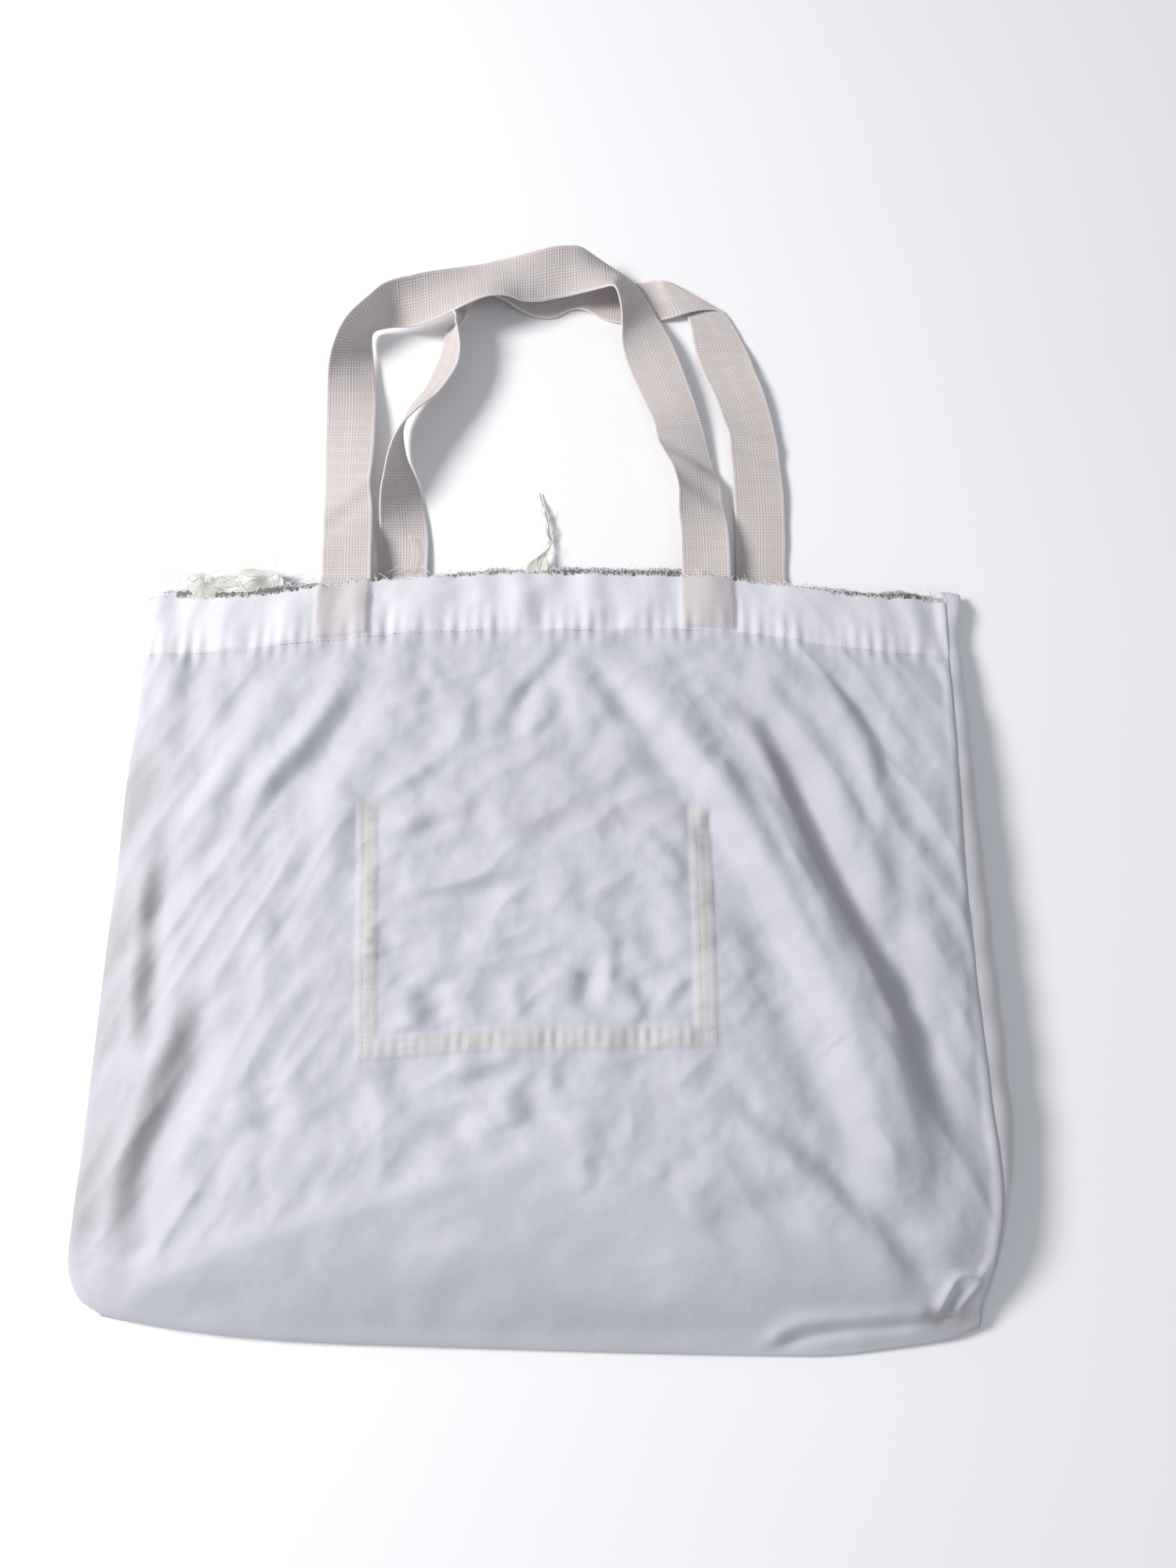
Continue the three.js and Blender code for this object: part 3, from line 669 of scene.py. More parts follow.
# the pocket shows through as raised sewn bands
PK = [(-103.3, -55.1), (88.2, -56.0), (-96.3, -191.1), (-22.2, -185.6), (88.4, -184.0)]   # corners of the pocket: top left, top right, bottom left, bottom middle, bottom right
PXL = lambda y: np.interp(y, [PK[2][1], PK[0][1]], [PK[2][0], PK[0][0]])
PXR = lambda y: np.interp(y, [PK[4][1], PK[1][1]], [PK[4][0], PK[1][0]])
PYB = lambda x: np.interp(x, [PK[2][0], PK[3][0], PK[4][0]], [PK[2][1], PK[3][1], PK[4][1]])
PYT = lambda x: np.interp(x, [PK[0][0], PK[1][0]], [PK[0][1], PK[1][1]])
el = smoothstep((RX - PXL(RY) + 0.5) / 1.0)
er = smoothstep((PXR(RY) - RX + 0.5) / 1.0)
eb = smoothstep((RY - PYB(RX) + 0.5) / 1.0)
et = smoothstep((PYT(RX) - RY + 0.5) / 1.0)
frame_in = smoothstep((RX - PXL(RY) - 9.0) / 1.2) * smoothstep((PXR(RY) - 9.6 - RX) / 1.2) * smoothstep((RY - PYB(RX) - 9.5) / 1.2)
pocket_all = el * er * eb * et
bands = pocket_all * (1 - frame_in)
Z += 1.05 * bands
cream = np.clip(bands * 0.65 + 0.25 * pocket_all * smoothstep((RY - PYT(RX) + 12) / 3), 0, 1)
by = (RY - PYB(RX)) / 9.5
Z += 0.26 * waves(RX, 6.4, 61, 0.25) * np.exp(-((by - 0.55) / 0.55) ** 2) * smoothstep((RX - PXL(RY) - 8) / 5) * smoothstep((PXR(RY) - 8 - RX) / 5)
bx = (RX - PXL(RY)) / 9.0
Z += 0.16 * waves(RY, 6.0, 62, 0.25) * np.exp(-((bx - 0.5) / 0.45) ** 2) * et * eb
bx2 = (PXR(RY) - RX) / 9.5
Z += 0.16 * waves(RY, 6.4, 63, 0.25) * np.exp(-((bx2 - 0.5) / 0.45) ** 2) * et * eb
for off in (2.4, 7.8):
    Z -= 0.40 * np.exp(-((RX - PXL(RY) - off) / 0.8) ** 2) * et * eb
    Z -= 0.32 * np.exp(-((PXR(RY) - RX - off) / 0.8) ** 2) * et * eb
    Z -= 0.40 * np.exp(-((RY - PYB(RX) - off) / 0.8) ** 2) * el * er
# the tuck at the right end of the pocket's mouth
tx, ty = PK[1][0] - 6.0, PK[1][1] - 7.0
Z += 1.6 * np.exp(-((RX - tx - 1) / 3.2) ** 2 - ((RY - ty - 3) / 7.0) ** 2)
Z -= 1.3 * np.exp(-((RX - tx - 6.2) / 1.6) ** 2 - ((RY - ty) / 6.5) ** 2)

# a soft roll where the front cloth meets the right side seam
sdist = x_seam(RY) - RX
Z += 1.1 * np.exp(-((sdist - 3.0) / 2.6) ** 2) * smoothstep((RY + 325) / 25)

# dark marks in the colour: two real spots, then painted shade along fold valleys, the left edge and the bottom right
# corner
dark_marks_and_painted_shade = np.zeros_like(Z)
for cx, cy, rx_, ry_, a in ((150, -182, 9, 1.2, 0.3), (-58, 64, 3, 3, 0.05)):
    dark_marks_and_painted_shade = np.maximum(dark_marks_and_painted_shade, a * np.exp(-(((RX - cx) + (RY - cy) * 0.8) / rx_) ** 2 - (((RY - cy) - 0.8 * (RX - cx)) / ry_) ** 2))
# painted shade: darkens the colour along a fold valley
def paint_fold_shade(points, amount, w0, w1):
    iy, ix, sd, w, fade = stroke_fields(points, w0, w1)
    dark_marks_and_painted_shade[iy, ix] = np.maximum(dark_marks_and_painted_shade[iy, ix], amount * np.exp(-0.5 * (sd / w) ** 2) * fade)


paint_fold_shade([(-211.6, -57.6), (-211.8, -80.8), (-216.9, -110.1), (-215.6, -144.1), (-213.5, -168.8), (-212.2, -202.5)], 0.50, 6, 5)
paint_fold_shade([(-180.8, -140.8), (-184.2, -149.8), (-189.7, -181.3), (-199.6, -210.8), (-208.7, -239.7), (-214.3, -266.2), (-218.9, -298.6)], 0.55, 6, 7)
paint_fold_shade([(92.0, 21.9), (102.9, 8.1), (116.5, -9.1), (128.0, -35.2), (138.0, -63.8), (152.1, -99.4), (170.7, -137.0), (183.3, -165.5), (191.4, -195.2), (202.2, -226.2), (212.1, -260.3)], 0.42, 3.5, 6.5)
paint_fold_shade([(183.2, -307.5), (196.2, -315.7), (204.7, -319.1), (215.1, -314.5), (222.7, -305.2)], 0.5, 4, 5)
# painted shade along the rolled left edge, which faces away from the light
left_edge_painted_shade = np.exp(-((RX - x_left(RY)) / 30.0) ** 2) * smoothstep((20 - RY) / 60) * smoothstep((RY + 305) / 40)
dark_marks_and_painted_shade = np.maximum(dark_marks_and_painted_shade, 0.55 * left_edge_painted_shade * (0.72 + 0.28 * np.clip(field(91, 60, 30, 9), -1, 1)))
# darker along the right seam towards the bottom
right_seam_darkening = np.exp(-((x_seam(RY) - RX) / 10.0) ** 2) * smoothstep((-200 - RY) / 60)
dark_marks_and_painted_shade = np.maximum(dark_marks_and_painted_shade, 0.20 * right_seam_darkening)
Z = np.maximum(Z, 3.2)


def sample(R, x, y):
    fx = np.clip((np.asarray(x, float) - GX0) / STEP, 0, R.shape[1] - 1.001)
    fy = np.clip((np.asarray(y, float) - GY0) / STEP, 0, R.shape[0] - 1.001)
    i, j = fx.astype(int), fy.astype(int)
    u, v = fx - i, fy - j
    return (R[j, i] * (1 - u) + R[j, i + 1] * u) * (1 - v) + (R[j + 1, i] * (1 - u) + R[j + 1, i + 1] * u) * v


H = lambda x, y: sample(Z, x, y)


def front_blend(o):
    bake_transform(o)
    n = len(o.data.vertices)
    co = np.empty(n * 3, np.float32)
    o.data.vertices.foreach_get("co", co)
    co = co.reshape(-1, 3) * 1000
    return o


# ---------------------------------------------------------------- front cloth
# columns: tucked under the left side, round the left edge, across to the right seam
UNDER = 1.75          # height of the tucked-under cloth's outer face
RL = 7.5
lcol = [(18.0, 0.0), (12.0, 0.0)] + [(RL - RL * math.cos(a), 0.5 - 0.5 * math.sin(a)) for a in np.linspace(math.pi / 2, -math.pi / 2, 19) * 1.0]
# (offset from the outline, height fraction), from the underside to the top
lcol = [(18.0, 0.0), (12.0, 0.0)] + [(RL - RL * math.cos(a), 0.5 + 0.5 * math.sin(a)) for a in np.linspace(-math.pi / 2, math.pi / 2, 19)]
RB = 5.0
brow = [(15.0, 0.0), (10.0, 0.0)] + [(RB - RB * math.cos(a), 0.5 + 0.5 * math.sin(a)) for a in np.linspace(-math.pi / 2, math.pi / 2, 15)]
NX, NY = 330, 300
s = np.linspace(0, 1, NX)
t = np.linspace(0, 1, NY)
ncol, nrow = len(lcol) + NX - 1, len(brow) + NY - 1
FX = np.zeros((nrow, ncol))
FY = np.zeros((nrow, ncol))
hx = np.ones(ncol)
hy = np.ones(nrow)
colfrac = np.zeros(ncol)
for i, (o_, h_) in enumerate(lcol):
    hx[i] = h_
for j, (o_, h_) in enumerate(brow):
    hy[j] = h_
for it in range(5):
    # two short passes let x and y outlines depend on each other
    yy = FY if it else np.linspace(-328, 85, nrow)[:, None] * np.ones((1, ncol))
    xl, xs_ = x_left(yy), x_seam(np.maximum(yy, -312)) - 0.2
    FX[:, :len(lcol)] = xl[:, :len(lcol)] + np.array([o for o, h in lcol])[None, :]
    FX[:, len(lcol) - 1:] = (xl[:, len(lcol) - 1:] + RL) + (xs_[:, len(lcol) - 1:] - xl[:, len(lcol) - 1:] - RL) * s[None, :]
    yb, ym = y_bottom(FX), mouth(FX)
    FY[:len(brow), :] = yb[:len(brow), :] + np.array([o for o, h in brow])[:, None]
    FY[len(brow) - 1:, :] = (yb[len(brow) - 1:, :] + RB) + (ym[len(brow) - 1:, :] - yb[len(brow) - 1:, :] - RB) * t[:, None]
ragged = 0.5 * waves(FX[-1], 3.1, 77, 0.6, 7) + 0.35 * waves(FX[-1], 11, 78, 0.5)
for k, a in ((1, 1.0), (2, 0.6), (3, 0.25)):
    FY[-k] += ragged * a
HZ = H(FX, FY)
frac = hy[:, None] * hx[None, :]
FZ = UNDER + (HZ - UNDER) * frac
at = {"strap_under": sample(0.5 * under, FX, FY) * (frac > 0.9), "cream": sample(cream, FX, FY) * (frac > 0.9), "dark_marks_and_painted_shade": sample(dark_marks_and_painted_shade, FX, FY), "double": sample(0.75 * inband * (1 - under), FX, FY) * (frac > 0.9)}
flat_u = np.concatenate([np.zeros((nrow, 1)), np.cumsum(np.hypot(np.diff(FX, axis=1), np.diff(FZ, axis=1) * 0.6), axis=1)], 1)
flat_uv = np.stack([FX * 0.001, FY * 0.001], -1).reshape(-1, 2)
front = grid("front_cloth", FX, FY, FZ, CANVAS, attrs=at, uvs=flat_uv)
thicken(front, 0.9)
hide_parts("front_panel", "bottom_panel")
front_blend(front)

# ---------------------------------------------------------------- back cloth
# section at each y: from the left, flat on the floor, then up round the right side to the seam
NB = 150
rows_b = 260
yb0 = np.linspace(0, 1, rows_b)
rcol = 26
BX = np.zeros((rows_b, NB + rcol))
BY = np.zeros_like(BX)
BZ = np.zeros_like(BX)
for it in range(4):
    yy = BY if it else np.linspace(-326, 92, rows_b)[:, None] * np.ones((1, NB + rcol))
    xl, xr, xs_ = x_left(yy) + 5.0, x_right(yy), x_seam(np.maximum(yy, -312))
    rr = 7.0
    k = np.linspace(0, 1, NB)
    BX[:, :NB] = xl[:, :NB] + (xr[:, :NB] - rr - xl[:, :NB]) * k[None, :]
    a = np.linspace(-math.pi / 2, math.pi / 2, rcol + 1)[1:]
    c = np.cos(a)
    low = a <= 0
    for m_, ang in enumerate(a):
        col = NB + m_
        if ang <= 0:
            BX[:, col] = xr[:, col] - rr + rr * math.cos(ang)
        else:
            BX[:, col] = xs_[:, col] - 1.6 + (xr[:, col] - xs_[:, col] + 1.6) * math.cos(ang)
    fade_y = yb0[:, None]
    ylo = y_bottom(np.clip(BX, -236, 224)) + 2.5
    BY[:] = ylo + (mouth_back(BX) - ylo) * fade_y
floor_z = 0.95
seam_top = H(x_seam(np.maximum(BY[:, -1], -312)) - 0.4, BY[:, -1])[:, None] - 1.1
lip = smoothstep((BY - mouth(BX) - 1.0) / 9)          # beyond the front's edge the side strip lies lower
seam_top = seam_top * (1 - 0.55 * lip[:, -1:]) + 4.0 * 0.55 * lip[:, -1:]
corner = smoothstep((-BY - 285) / 38)
for m_ in range(NB + rcol):
    if m_ < NB:
        BZ[:, m_] = floor_z
    else:
        ang = a[m_ - NB]
        f = 0.5 + 0.5 * math.sin(ang)
        BZ[:, m_] = floor_z + (seam_top[:, 0] - floor_z) * f
bow = 0.6 * np.abs(field(71, 90, 20, 6))
BZ[:, NB:] += (0.9 * waves(BY[:, NB:], 38, 81, 0.4) * np.sin(np.linspace(0, math.pi, rcol))[None, :] * 0.6)
# beyond the front cloth the back's raw edge lifts and waves a little
strap_near = np.maximum(smoothstep((30 - np.abs(BX + 90.3)) / 10), smoothstep((30 - np.abs(BX - 127.3)) / 10))
curl = smoothstep((BY - mouth(BX) + 4) / 12.5)


def back_lift(x, y):
    near = np.maximum(smoothstep((30 - np.abs(x + 90.3)) / 10), smoothstep((30 - np.abs(x - 127.3)) / 10))
    return smoothstep((y - mouth(x) + 4) / 12.5) * (1 - near) * (5.4 + 1.1 * waves(x, 44, 82, 0.4)) * smoothstep((232 - np.abs(x)) / 20)


BZ[:, :NB] += back_lift(BX, BY)[:, :NB]
ragb = 0.5 * waves(BX[-1], 3.3, 79, 0.6, 7)
BY[-1] += ragb
BY[-2] += 0.5 * ragb
# the side strip beyond the seam is made darker towards the bottom
back = grid("back_cloth", BX, BY, np.maximum(BZ, 0.95), CANVAS, flip=False, attrs={"double": smoothstep((BX - x_seam(BY) + 0.5) / 1.5) * (0.6 + 0.4 * smoothstep((BY - stitch_y(BX)) / 2)), "strap_under": np.zeros(BX.shape), "cream": 0.45 * smoothstep((BX - 225) / 8) * smoothstep((20 - BY) / 80), "dark_marks_and_painted_shade": 0.18 * smoothstep((BX - x_seam(BY) - 1.5) / 5) * smoothstep((-150 - BY) / 120)})
thicken(back, 0.9)
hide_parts("back_panel", "back_panel_left_edge", "back_panel_right_edge")
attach(back, "bag_back")

# ---------------------------------------------------------------- facings behind the mouth
def strip(name, x0, x1, y_at, depth, z_at, material, nx=300, nyy=24, flip=False):
    x = np.linspace(x0, x1, nx)[None, :] * np.ones((nyy, 1))
    v = np.linspace(0, 1, nyy)[:, None]
    y = y_at(x) - depth * (1 - v)
    return grid(name, x, y, z_at(x, y), material, flip=flip)


ff = strip("front_facing_cloth", -226, 222, lambda x: mouth(x) - 1.2 + 0.4 * waves(x, 5, 91), HEM, lambda x, y: H(x, y) - 4.6, CANVAS_IN)
thicken(ff, 0.8)
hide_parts("front_facing")
front_blend(ff)
# the back facing gets the painted-shade canvas, so the gap behind the front's edge is dark
bf = strip("back_facing_cloth", -226, 226, lambda x: mouth_back(x) - 2.2 + 0.4 * waves(x, 5, 92), HEM, lambda x, y: 3.4 + back_lift(x, y) * 0.88 + 0.25 * waves(x, 40, 93), CANVAS_IN_PAINTED_SHADE)
thicken(bf, 0.8)
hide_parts("back_facing")
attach(bf, "bag_back")


# ---------------------------------------------------------------- handles
def spline(P, n):
    P = np.array(P, float)
    q = np.vstack([2 * P[0] - P[1], P, 2 * P[-1] - P[-2]])
    out = []
    m = 12
    for i in range(1, len(q) - 2):
        for u in np.linspace(0, 1, m, endpoint=False):
            a, b, c, d = q[i - 1], q[i], q[i + 1], q[i + 2]
            out.append(0.5 * ((2 * b) + (c - a) * u + (2 * a - 5 * b + 4 * c - d) * u * u + (-a + 3 * b - 3 * c + d) * u ** 3))
    out.append(P[-1])
    return np.array(out)


def webbing(name, A, B, thickness=1.7, step=0.62, cols=50, cup=0.5, seed=5, smooth=9, dents=()):
    A, B = spline(A, 0), spline(B, 0)
    C = (A + B) / 2
    s_ = np.concatenate([[0], np.cumsum(np.linalg.norm(np.diff(C, axis=0), axis=1))])
    n = int(s_[-1] / step)
    q = np.linspace(0, s_[-1], n)
    A = np.stack([np.interp(q, s_, A[:, k]) for k in range(3)], 1)
    B = np.stack([np.interp(q, s_, B[:, k]) for k in range(3)], 1)
    for _ in range(smooth):
        for P in (A, B):
            P[1:-1] = 0.5 * P[1:-1] + 0.25 * (P[2:] + P[:-2])
    C = (A + B) / 2
    T = np.gradient(C, axis=0)
    T /= np.linalg.norm(T, axis=1)[:, None]
    Wd = B - A
    width = np.linalg.norm(Wd, axis=1)
    Wn = Wd / width[:, None]
    N = np.cross(Wn, T)
    N /= np.linalg.norm(N, axis=1)[:, None]
    N *= np.sign(N[0, 2] if abs(N[0, 2]) > 0.1 else 1.0)
    g = np.random.default_rng(seed)
    v = np.linspace(0, 1, cols)
    across = v * 31.0
    pitch_a, pitch_l = 31.0 / 17.0, 1.75
    ca = np.abs(np.sin(math.pi * across / pitch_a))[None, :]
    cl = np.abs(np.sin(math.pi * q / pitch_l))[:, None]
    pit = (ca * cl) ** 0.75
    selv = smoothstep(np.minimum(across, 31 - across) / 1.6)[None, :]
    h = thickness / 2 - 0.62 * pit * selv + 0.10 * (1 - cl) * selv
    bend = cup * np.sin(q / 47.0 + g.uniform(0, 6))[:, None] * (4 * v * (1 - v))[None, :]
    ripple = 0.25 * np.sin(q / 9.0 + 3 * np.sin(q / 31.0))[:, None] * (np.abs(2 * v - 1) ** 3)[None, :]
    dent = 0
    for q0, lean, amp, wid in dents:
        q0 = q0 if q0 > 0 else q[-1] + q0
        td = ((q[:, None] - q0) - lean * (across[None, :] - 15.5)) / wid
        dent = dent + amp * td * np.exp(-0.5 * td * td) * smoothstep((40 - np.abs(q[:, None] - q0)) / 20)
    P = A[:, None, :] + Wd[:, None, :] * v[None, :, None] + N[:, None, :] * (bend + ripple + dent)[:, :, None]
    endcap = smoothstep(np.minimum(v, 1 - v) / 0.02)[None, :]
    up = P + N[:, None, :] * (h * (0.35 + 0.65 * endcap))[:, :, None]
    dn = P - N[:, None, :] * (h * (0.35 + 0.65 * endcap))[:, :, None]
    loop = np.concatenate([up, dn[:, ::-1]], 1)
    loop[:, :, 2] = np.maximum(loop[:, :, 2], 0.12)
    m = 2 * cols
    j, k = np.mgrid[0:n - 1, 0:m]
    a_ = j * m + k
    b_ = j * m + (k + 1) % m
    F = np.stack([a_, b_, b_ + m, a_ + m], -1).reshape(-1, 4)
    uvx = np.concatenate([across, across[::-1]])
    U = np.stack([np.broadcast_to(uvx[None, :], (n, m)) * 0.001, np.broadcast_to(q[:, None], (n, m)) * 0.001], -1).reshape(-1, 2)
    pa = np.concatenate([pit * selv, (pit * selv)[:, ::-1]], 1)
    o = make(name, loop.reshape(-1, 3), F, WEB, uvs=U, attrs={"pit": pa})
    return o, A, B, N


FA = [(-137.0, 90.6, 14.6), (-137.3, 97.9, 14.2), (-138.0, 109.8, 13.3), (-138.8, 125.3, 11.4), (-139.6, 139.2, 9.4), (-140.4, 154.1, 7.6), (-141.2, 171.2, 7.2), (-141.7, 185.9, 7.8), (-141.8, 200.1, 9.3), (-141.9, 213.8, 11.8), (-141.7, 225.9, 15.0), (-141.0, 234.5, 17.9), (-139.1, 242.3, 21.2), (-135.9, 249.3, 24.7), (-131.7, 256.6, 28.5), (-126.7, 263.0, 31.5), (-120.1, 269.1, 33.4), (-113.1, 274.7, 34.3), (-106.6, 280.2, 34.7), (-98.7, 284.9, 34.1), (-89.8, 288.9, 32.4), (-81.4, 292.7, 30.5), (-73.0, 296.1, 28.1), (-66.0, 298.9, 25.9), (-59.0, 301.5, 23.9), (-52.4, 303.7, 22.4), (-46.2, 305.5, 21.3), (-39.3, 307.5, 21.4), (-30.9, 309.1, 22.1), (-20.2, 310.8, 24.3), (-8.6, 312.7, 26.6), (0.4, 314.8, 27.3), (8.8, 316.7, 25.8), (16.4, 318.5, 23.1), (23.1, 317.5, 18.3), (30.0, 315.5, 13.7), (37.6, 312.4, 10.2), (44.6, 309.0, 8.3), (51.5, 303.2, 7.0), (58.1, 293.8, 5.8), (64.2, 282.7, 5.5), (70.1, 271.2, 6.3), (75.4, 258.7, 7.8), (79.7, 245.6, 9.1), (84.1, 231.7, 9.1), (88.6, 217.4, 8.2), (92.5, 204.2, 6.7), (96.0, 191.2, 4.9), (98.8, 177.9, 3.7), (101.9, 167.8, 3.3), (103.8, 156.8, 4.8), (105.6, 140.0, 7.9), (107.1, 123.6, 11.7), (107.4, 109.6, 13.6), (107.4, 98.8, 14.4), (107.3, 91.5, 14.8)]
FB = [(-107.2, 90.3, 15.1), (-107.6, 97.7, 14.7), (-108.1, 109.5, 13.8), (-108.6, 124.6, 12.8), (-109.2, 137.3, 12.8), (-111.0, 151.0, 13.0), (-110.8, 168.4, 11.9), (-110.7, 184.4, 10.2), (-111.1, 200.8, 8.2), (-111.9, 217.6, 6.0), (-113.7, 233.2, 4.4), (-115.3, 244.7, 3.5), (-116.5, 253.7, 2.8), (-117.2, 260.7, 2.6), (-117.4, 265.6, 2.6), (-116.8, 268.5, 2.9), (-115.1, 270.0, 3.4), (-112.3, 270.3, 4.5), (-107.2, 269.6, 6.4), (-99.8, 267.7, 9.0), (-90.7, 265.6, 12.3), (-81.2, 265.3, 16.5), (-71.3, 266.3, 21.0), (-62.9, 268.3, 24.5), (-55.1, 270.9, 27.1), (-48.2, 273.4, 28.5), (-41.8, 275.8, 28.8), (-35.7, 277.6, 27.7), (-28.3, 279.4, 24.6), (-19.5, 280.1, 19.0), (-8.7, 283.1, 14.7), (0.3, 285.8, 13.8), (9.3, 287.1, 14.7), (18.3, 287.6, 17.3), (26.2, 287.3, 20.4), (32.4, 286.7, 23.7), (37.1, 286.5, 26.2), (40.0, 284.4, 26.3), (41.9, 278.4, 23.5), (43.1, 270.6, 19.7), (43.5, 263.2, 15.8), (43.4, 255.7, 11.9), (45.1, 247.2, 8.5), (49.1, 236.1, 6.3), (53.9, 223.6, 6.0), (58.9, 210.3, 7.3), (63.0, 198.5, 9.1), (64.9, 187.5, 11.1), (69.3, 173.5, 13.4), (74.3, 163.9, 15.7), (76.5, 150.6, 15.7), (76.7, 136.1, 14.9), (77.9, 122.6, 13.7), (78.1, 109.5, 13.8), (78.1, 98.8, 14.4), (78.1, 91.5, 14.9)]
BA = [(-105.4, 101.1, 1.3), (-105.4, 110.2, 2.1), (-105.5, 119.6, 4.3), (-105.0, 128.5, 9.5), (-104.4, 137.2, 15.8), (-103.1, 146.2, 21.4), (-101.3, 153.0, 24.6), (-99.4, 161.4, 27.4), (-97.2, 169.8, 29.1), (-94.1, 177.8, 29.9), (-89.9, 185.5, 30.2), (-85.3, 192.2, 29.1), (-79.3, 200.0, 27.6), (-72.3, 207.7, 25.3), (-66.2, 216.3, 23.8), (-61.3, 226.1, 23.2), (-58.7, 234.4, 23.1), (-57.7, 241.9, 23.4), (-58.0, 248.4, 24.3), (-59.3, 255.0, 25.9), (-61.1, 260.7, 27.2), (-62.7, 268.0, 25.5), (-83.7, 293.6, 13.1), (-78.5, 305.4, 7.7), (-69.9, 312.2, 3.7), (-55.0, 318.6, 1.8), (-40.4, 319.3, 1.6), (-29.6, 317.2, 1.6), (-23.5, 315.8, 1.6), (-18.5, 314.6, 1.6), (-13.1, 313.2, 1.6), (-7.3, 312.3, 1.6), (-0.3, 312.6, 1.6), (5.3, 314.1, 1.6), (11.5, 316.0, 1.6), (17.4, 316.6, 1.6), (25.2, 314.9, 1.6), (34.0, 311.4, 1.6), (41.3, 308.8, 1.5), (49.5, 307.3, 1.5), (57.5, 307.4, 1.7), (65.8, 308.9, 2.5), (69.4, 306.6, 5.0), (72.6, 306.0, 5.3), (74.8, 305.1, 5.7), (76.4, 304.3, 5.6), (77.5, 303.7, 4.1), (78.9, 300.5, 2.8), (81.8, 293.5, 2.1), (85.1, 285.3, 1.8), (87.9, 277.3, 1.9), (89.1, 269.1, 2.0), (90.6, 257.5, 1.8), (93.8, 244.7, 2.2), (97.5, 232.9, 3.1), (101.6, 222.0, 4.4), (104.8, 210.3, 5.4), (107.5, 199.7, 6.3), (110.2, 189.5, 6.7), (110.9, 176.7, 5.8), (111.7, 166.7, 5.1), (111.9, 157.0, 4.4), (112.5, 141.4, 3.4), (112.8, 125.7, 2.7), (112.5, 111.1, 2.3), (112.2, 100.7, 2.3)]
BB = [(-75.3, 100.5, 2.5), (-75.5, 110.1, 2.3), (-75.7, 120.9, 1.8), (-77.1, 132.8, 1.4), (-79.8, 145.2, 1.3), (-82.7, 157.7, 1.3), (-86.2, 166.5, 1.6), (-90.9, 176.6, 2.1), (-93.3, 186.0, 2.9), (-94.5, 194.3, 3.7), (-93.8, 201.5, 3.8), (-91.5, 210.1, 4.5), (-86.4, 218.8, 4.0), (-80.5, 228.2, 3.7), (-76.6, 237.7, 3.9), (-73.4, 247.1, 3.9), (-71.4, 255.5, 4.2), (-70.1, 263.4, 4.4), (-68.0, 269.8, 4.1), (-65.2, 274.4, 3.0), (-61.7, 277.8, 1.3), (-58.8, 281.3, 1.2), (-55.9, 284.9, 3.5), (-53.2, 288.1, 6.3), (-49.5, 289.8, 9.3), (-45.3, 291.0, 11.7), (-40.7, 290.4, 12.5), (-35.9, 288.5, 11.9), (-31.3, 287.6, 10.0), (-26.1, 285.5, 7.1), (-20.3, 283.4, 4.3), (-12.4, 281.3, 2.2), (-2.8, 280.5, 1.2), (3.4, 282.6, 1.3), (9.1, 286.1, 1.9), (15.5, 287.5, 2.2), (23.6, 284.5, 1.5), (32.2, 280.0, 1.2), (40.2, 277.6, 1.3), (49.3, 275.9, 1.3), (58.4, 276.1, 1.4), (68.6, 278.2, 2.4), (78.1, 279.1, 4.5), (87.7, 282.2, 5.1), (98.6, 285.0, 4.2), (107.8, 285.2, 3.4), (111.9, 283.3, 1.4), (113.3, 281.2, 1.2), (115.0, 278.0, 1.2), (117.0, 273.9, 1.5), (119.4, 268.8, 1.7), (121.7, 262.8, 1.8), (124.3, 255.5, 2.9), (126.6, 246.9, 4.2), (129.0, 237.8, 4.9), (132.1, 228.3, 5.3), (135.1, 217.1, 5.1), (137.7, 205.5, 4.6), (139.7, 194.0, 4.1), (141.5, 180.0, 4.1), (142.4, 168.6, 3.9), (143.2, 157.5, 3.6), (143.5, 141.5, 3.1), (143.4, 125.8, 2.6), (142.8, 111.2, 2.1), (142.3, 100.8, 2.0)]


def with_ends(A, B, z_at, depth=36.0):
    """Adds the sewn-in lengths inside the hem to both ends of a strap."""
    A, B = [list(p) for p in A], [list(p) for p in B]
    head_a, head_b, tail_a, tail_b = [], [], [], []
    for d in (depth, depth * 0.66, depth * 0.33, 6.0):
        for src, out in ((A[0], head_a), (B[0], head_b), (A[-1], tail_a), (B[-1], tail_b)):
            x, y = src[0], src[1] - d
            out.append([x, y, z_at(x, y)])
    return head_a + A + tail_a[::-1], head_b + B + tail_b[::-1]


fa, fb = with_ends(FA, FB, lambda x, y: float(H(x, y)) - 2.35)
front_handle, *_ = webbing("front_webbing", fa, fb, seed=5, dents=((86, 0.9, 1.3, 6.5), (-117, -0.8, 1.5, 7.0), (-92, -0.8, 1.2, 7.0), (232, 0.3, -0.9, 8.0)))
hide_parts("front_handle", "front_handle_left_end", "front_handle_right_end")
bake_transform(front_handle)
ba, bb = with_ends(BA, BB, lambda x, y: 2.25)
back_handle, *_ = webbing("back_webbing", ba, bb, seed=6, dents=((-120, 0.5, 0.9, 5.0), (330, 0.4, 1.0, 5.0)))
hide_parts("back_handle", "back_handle_left_end", "back_handle_right_end")
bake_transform(back_handle)


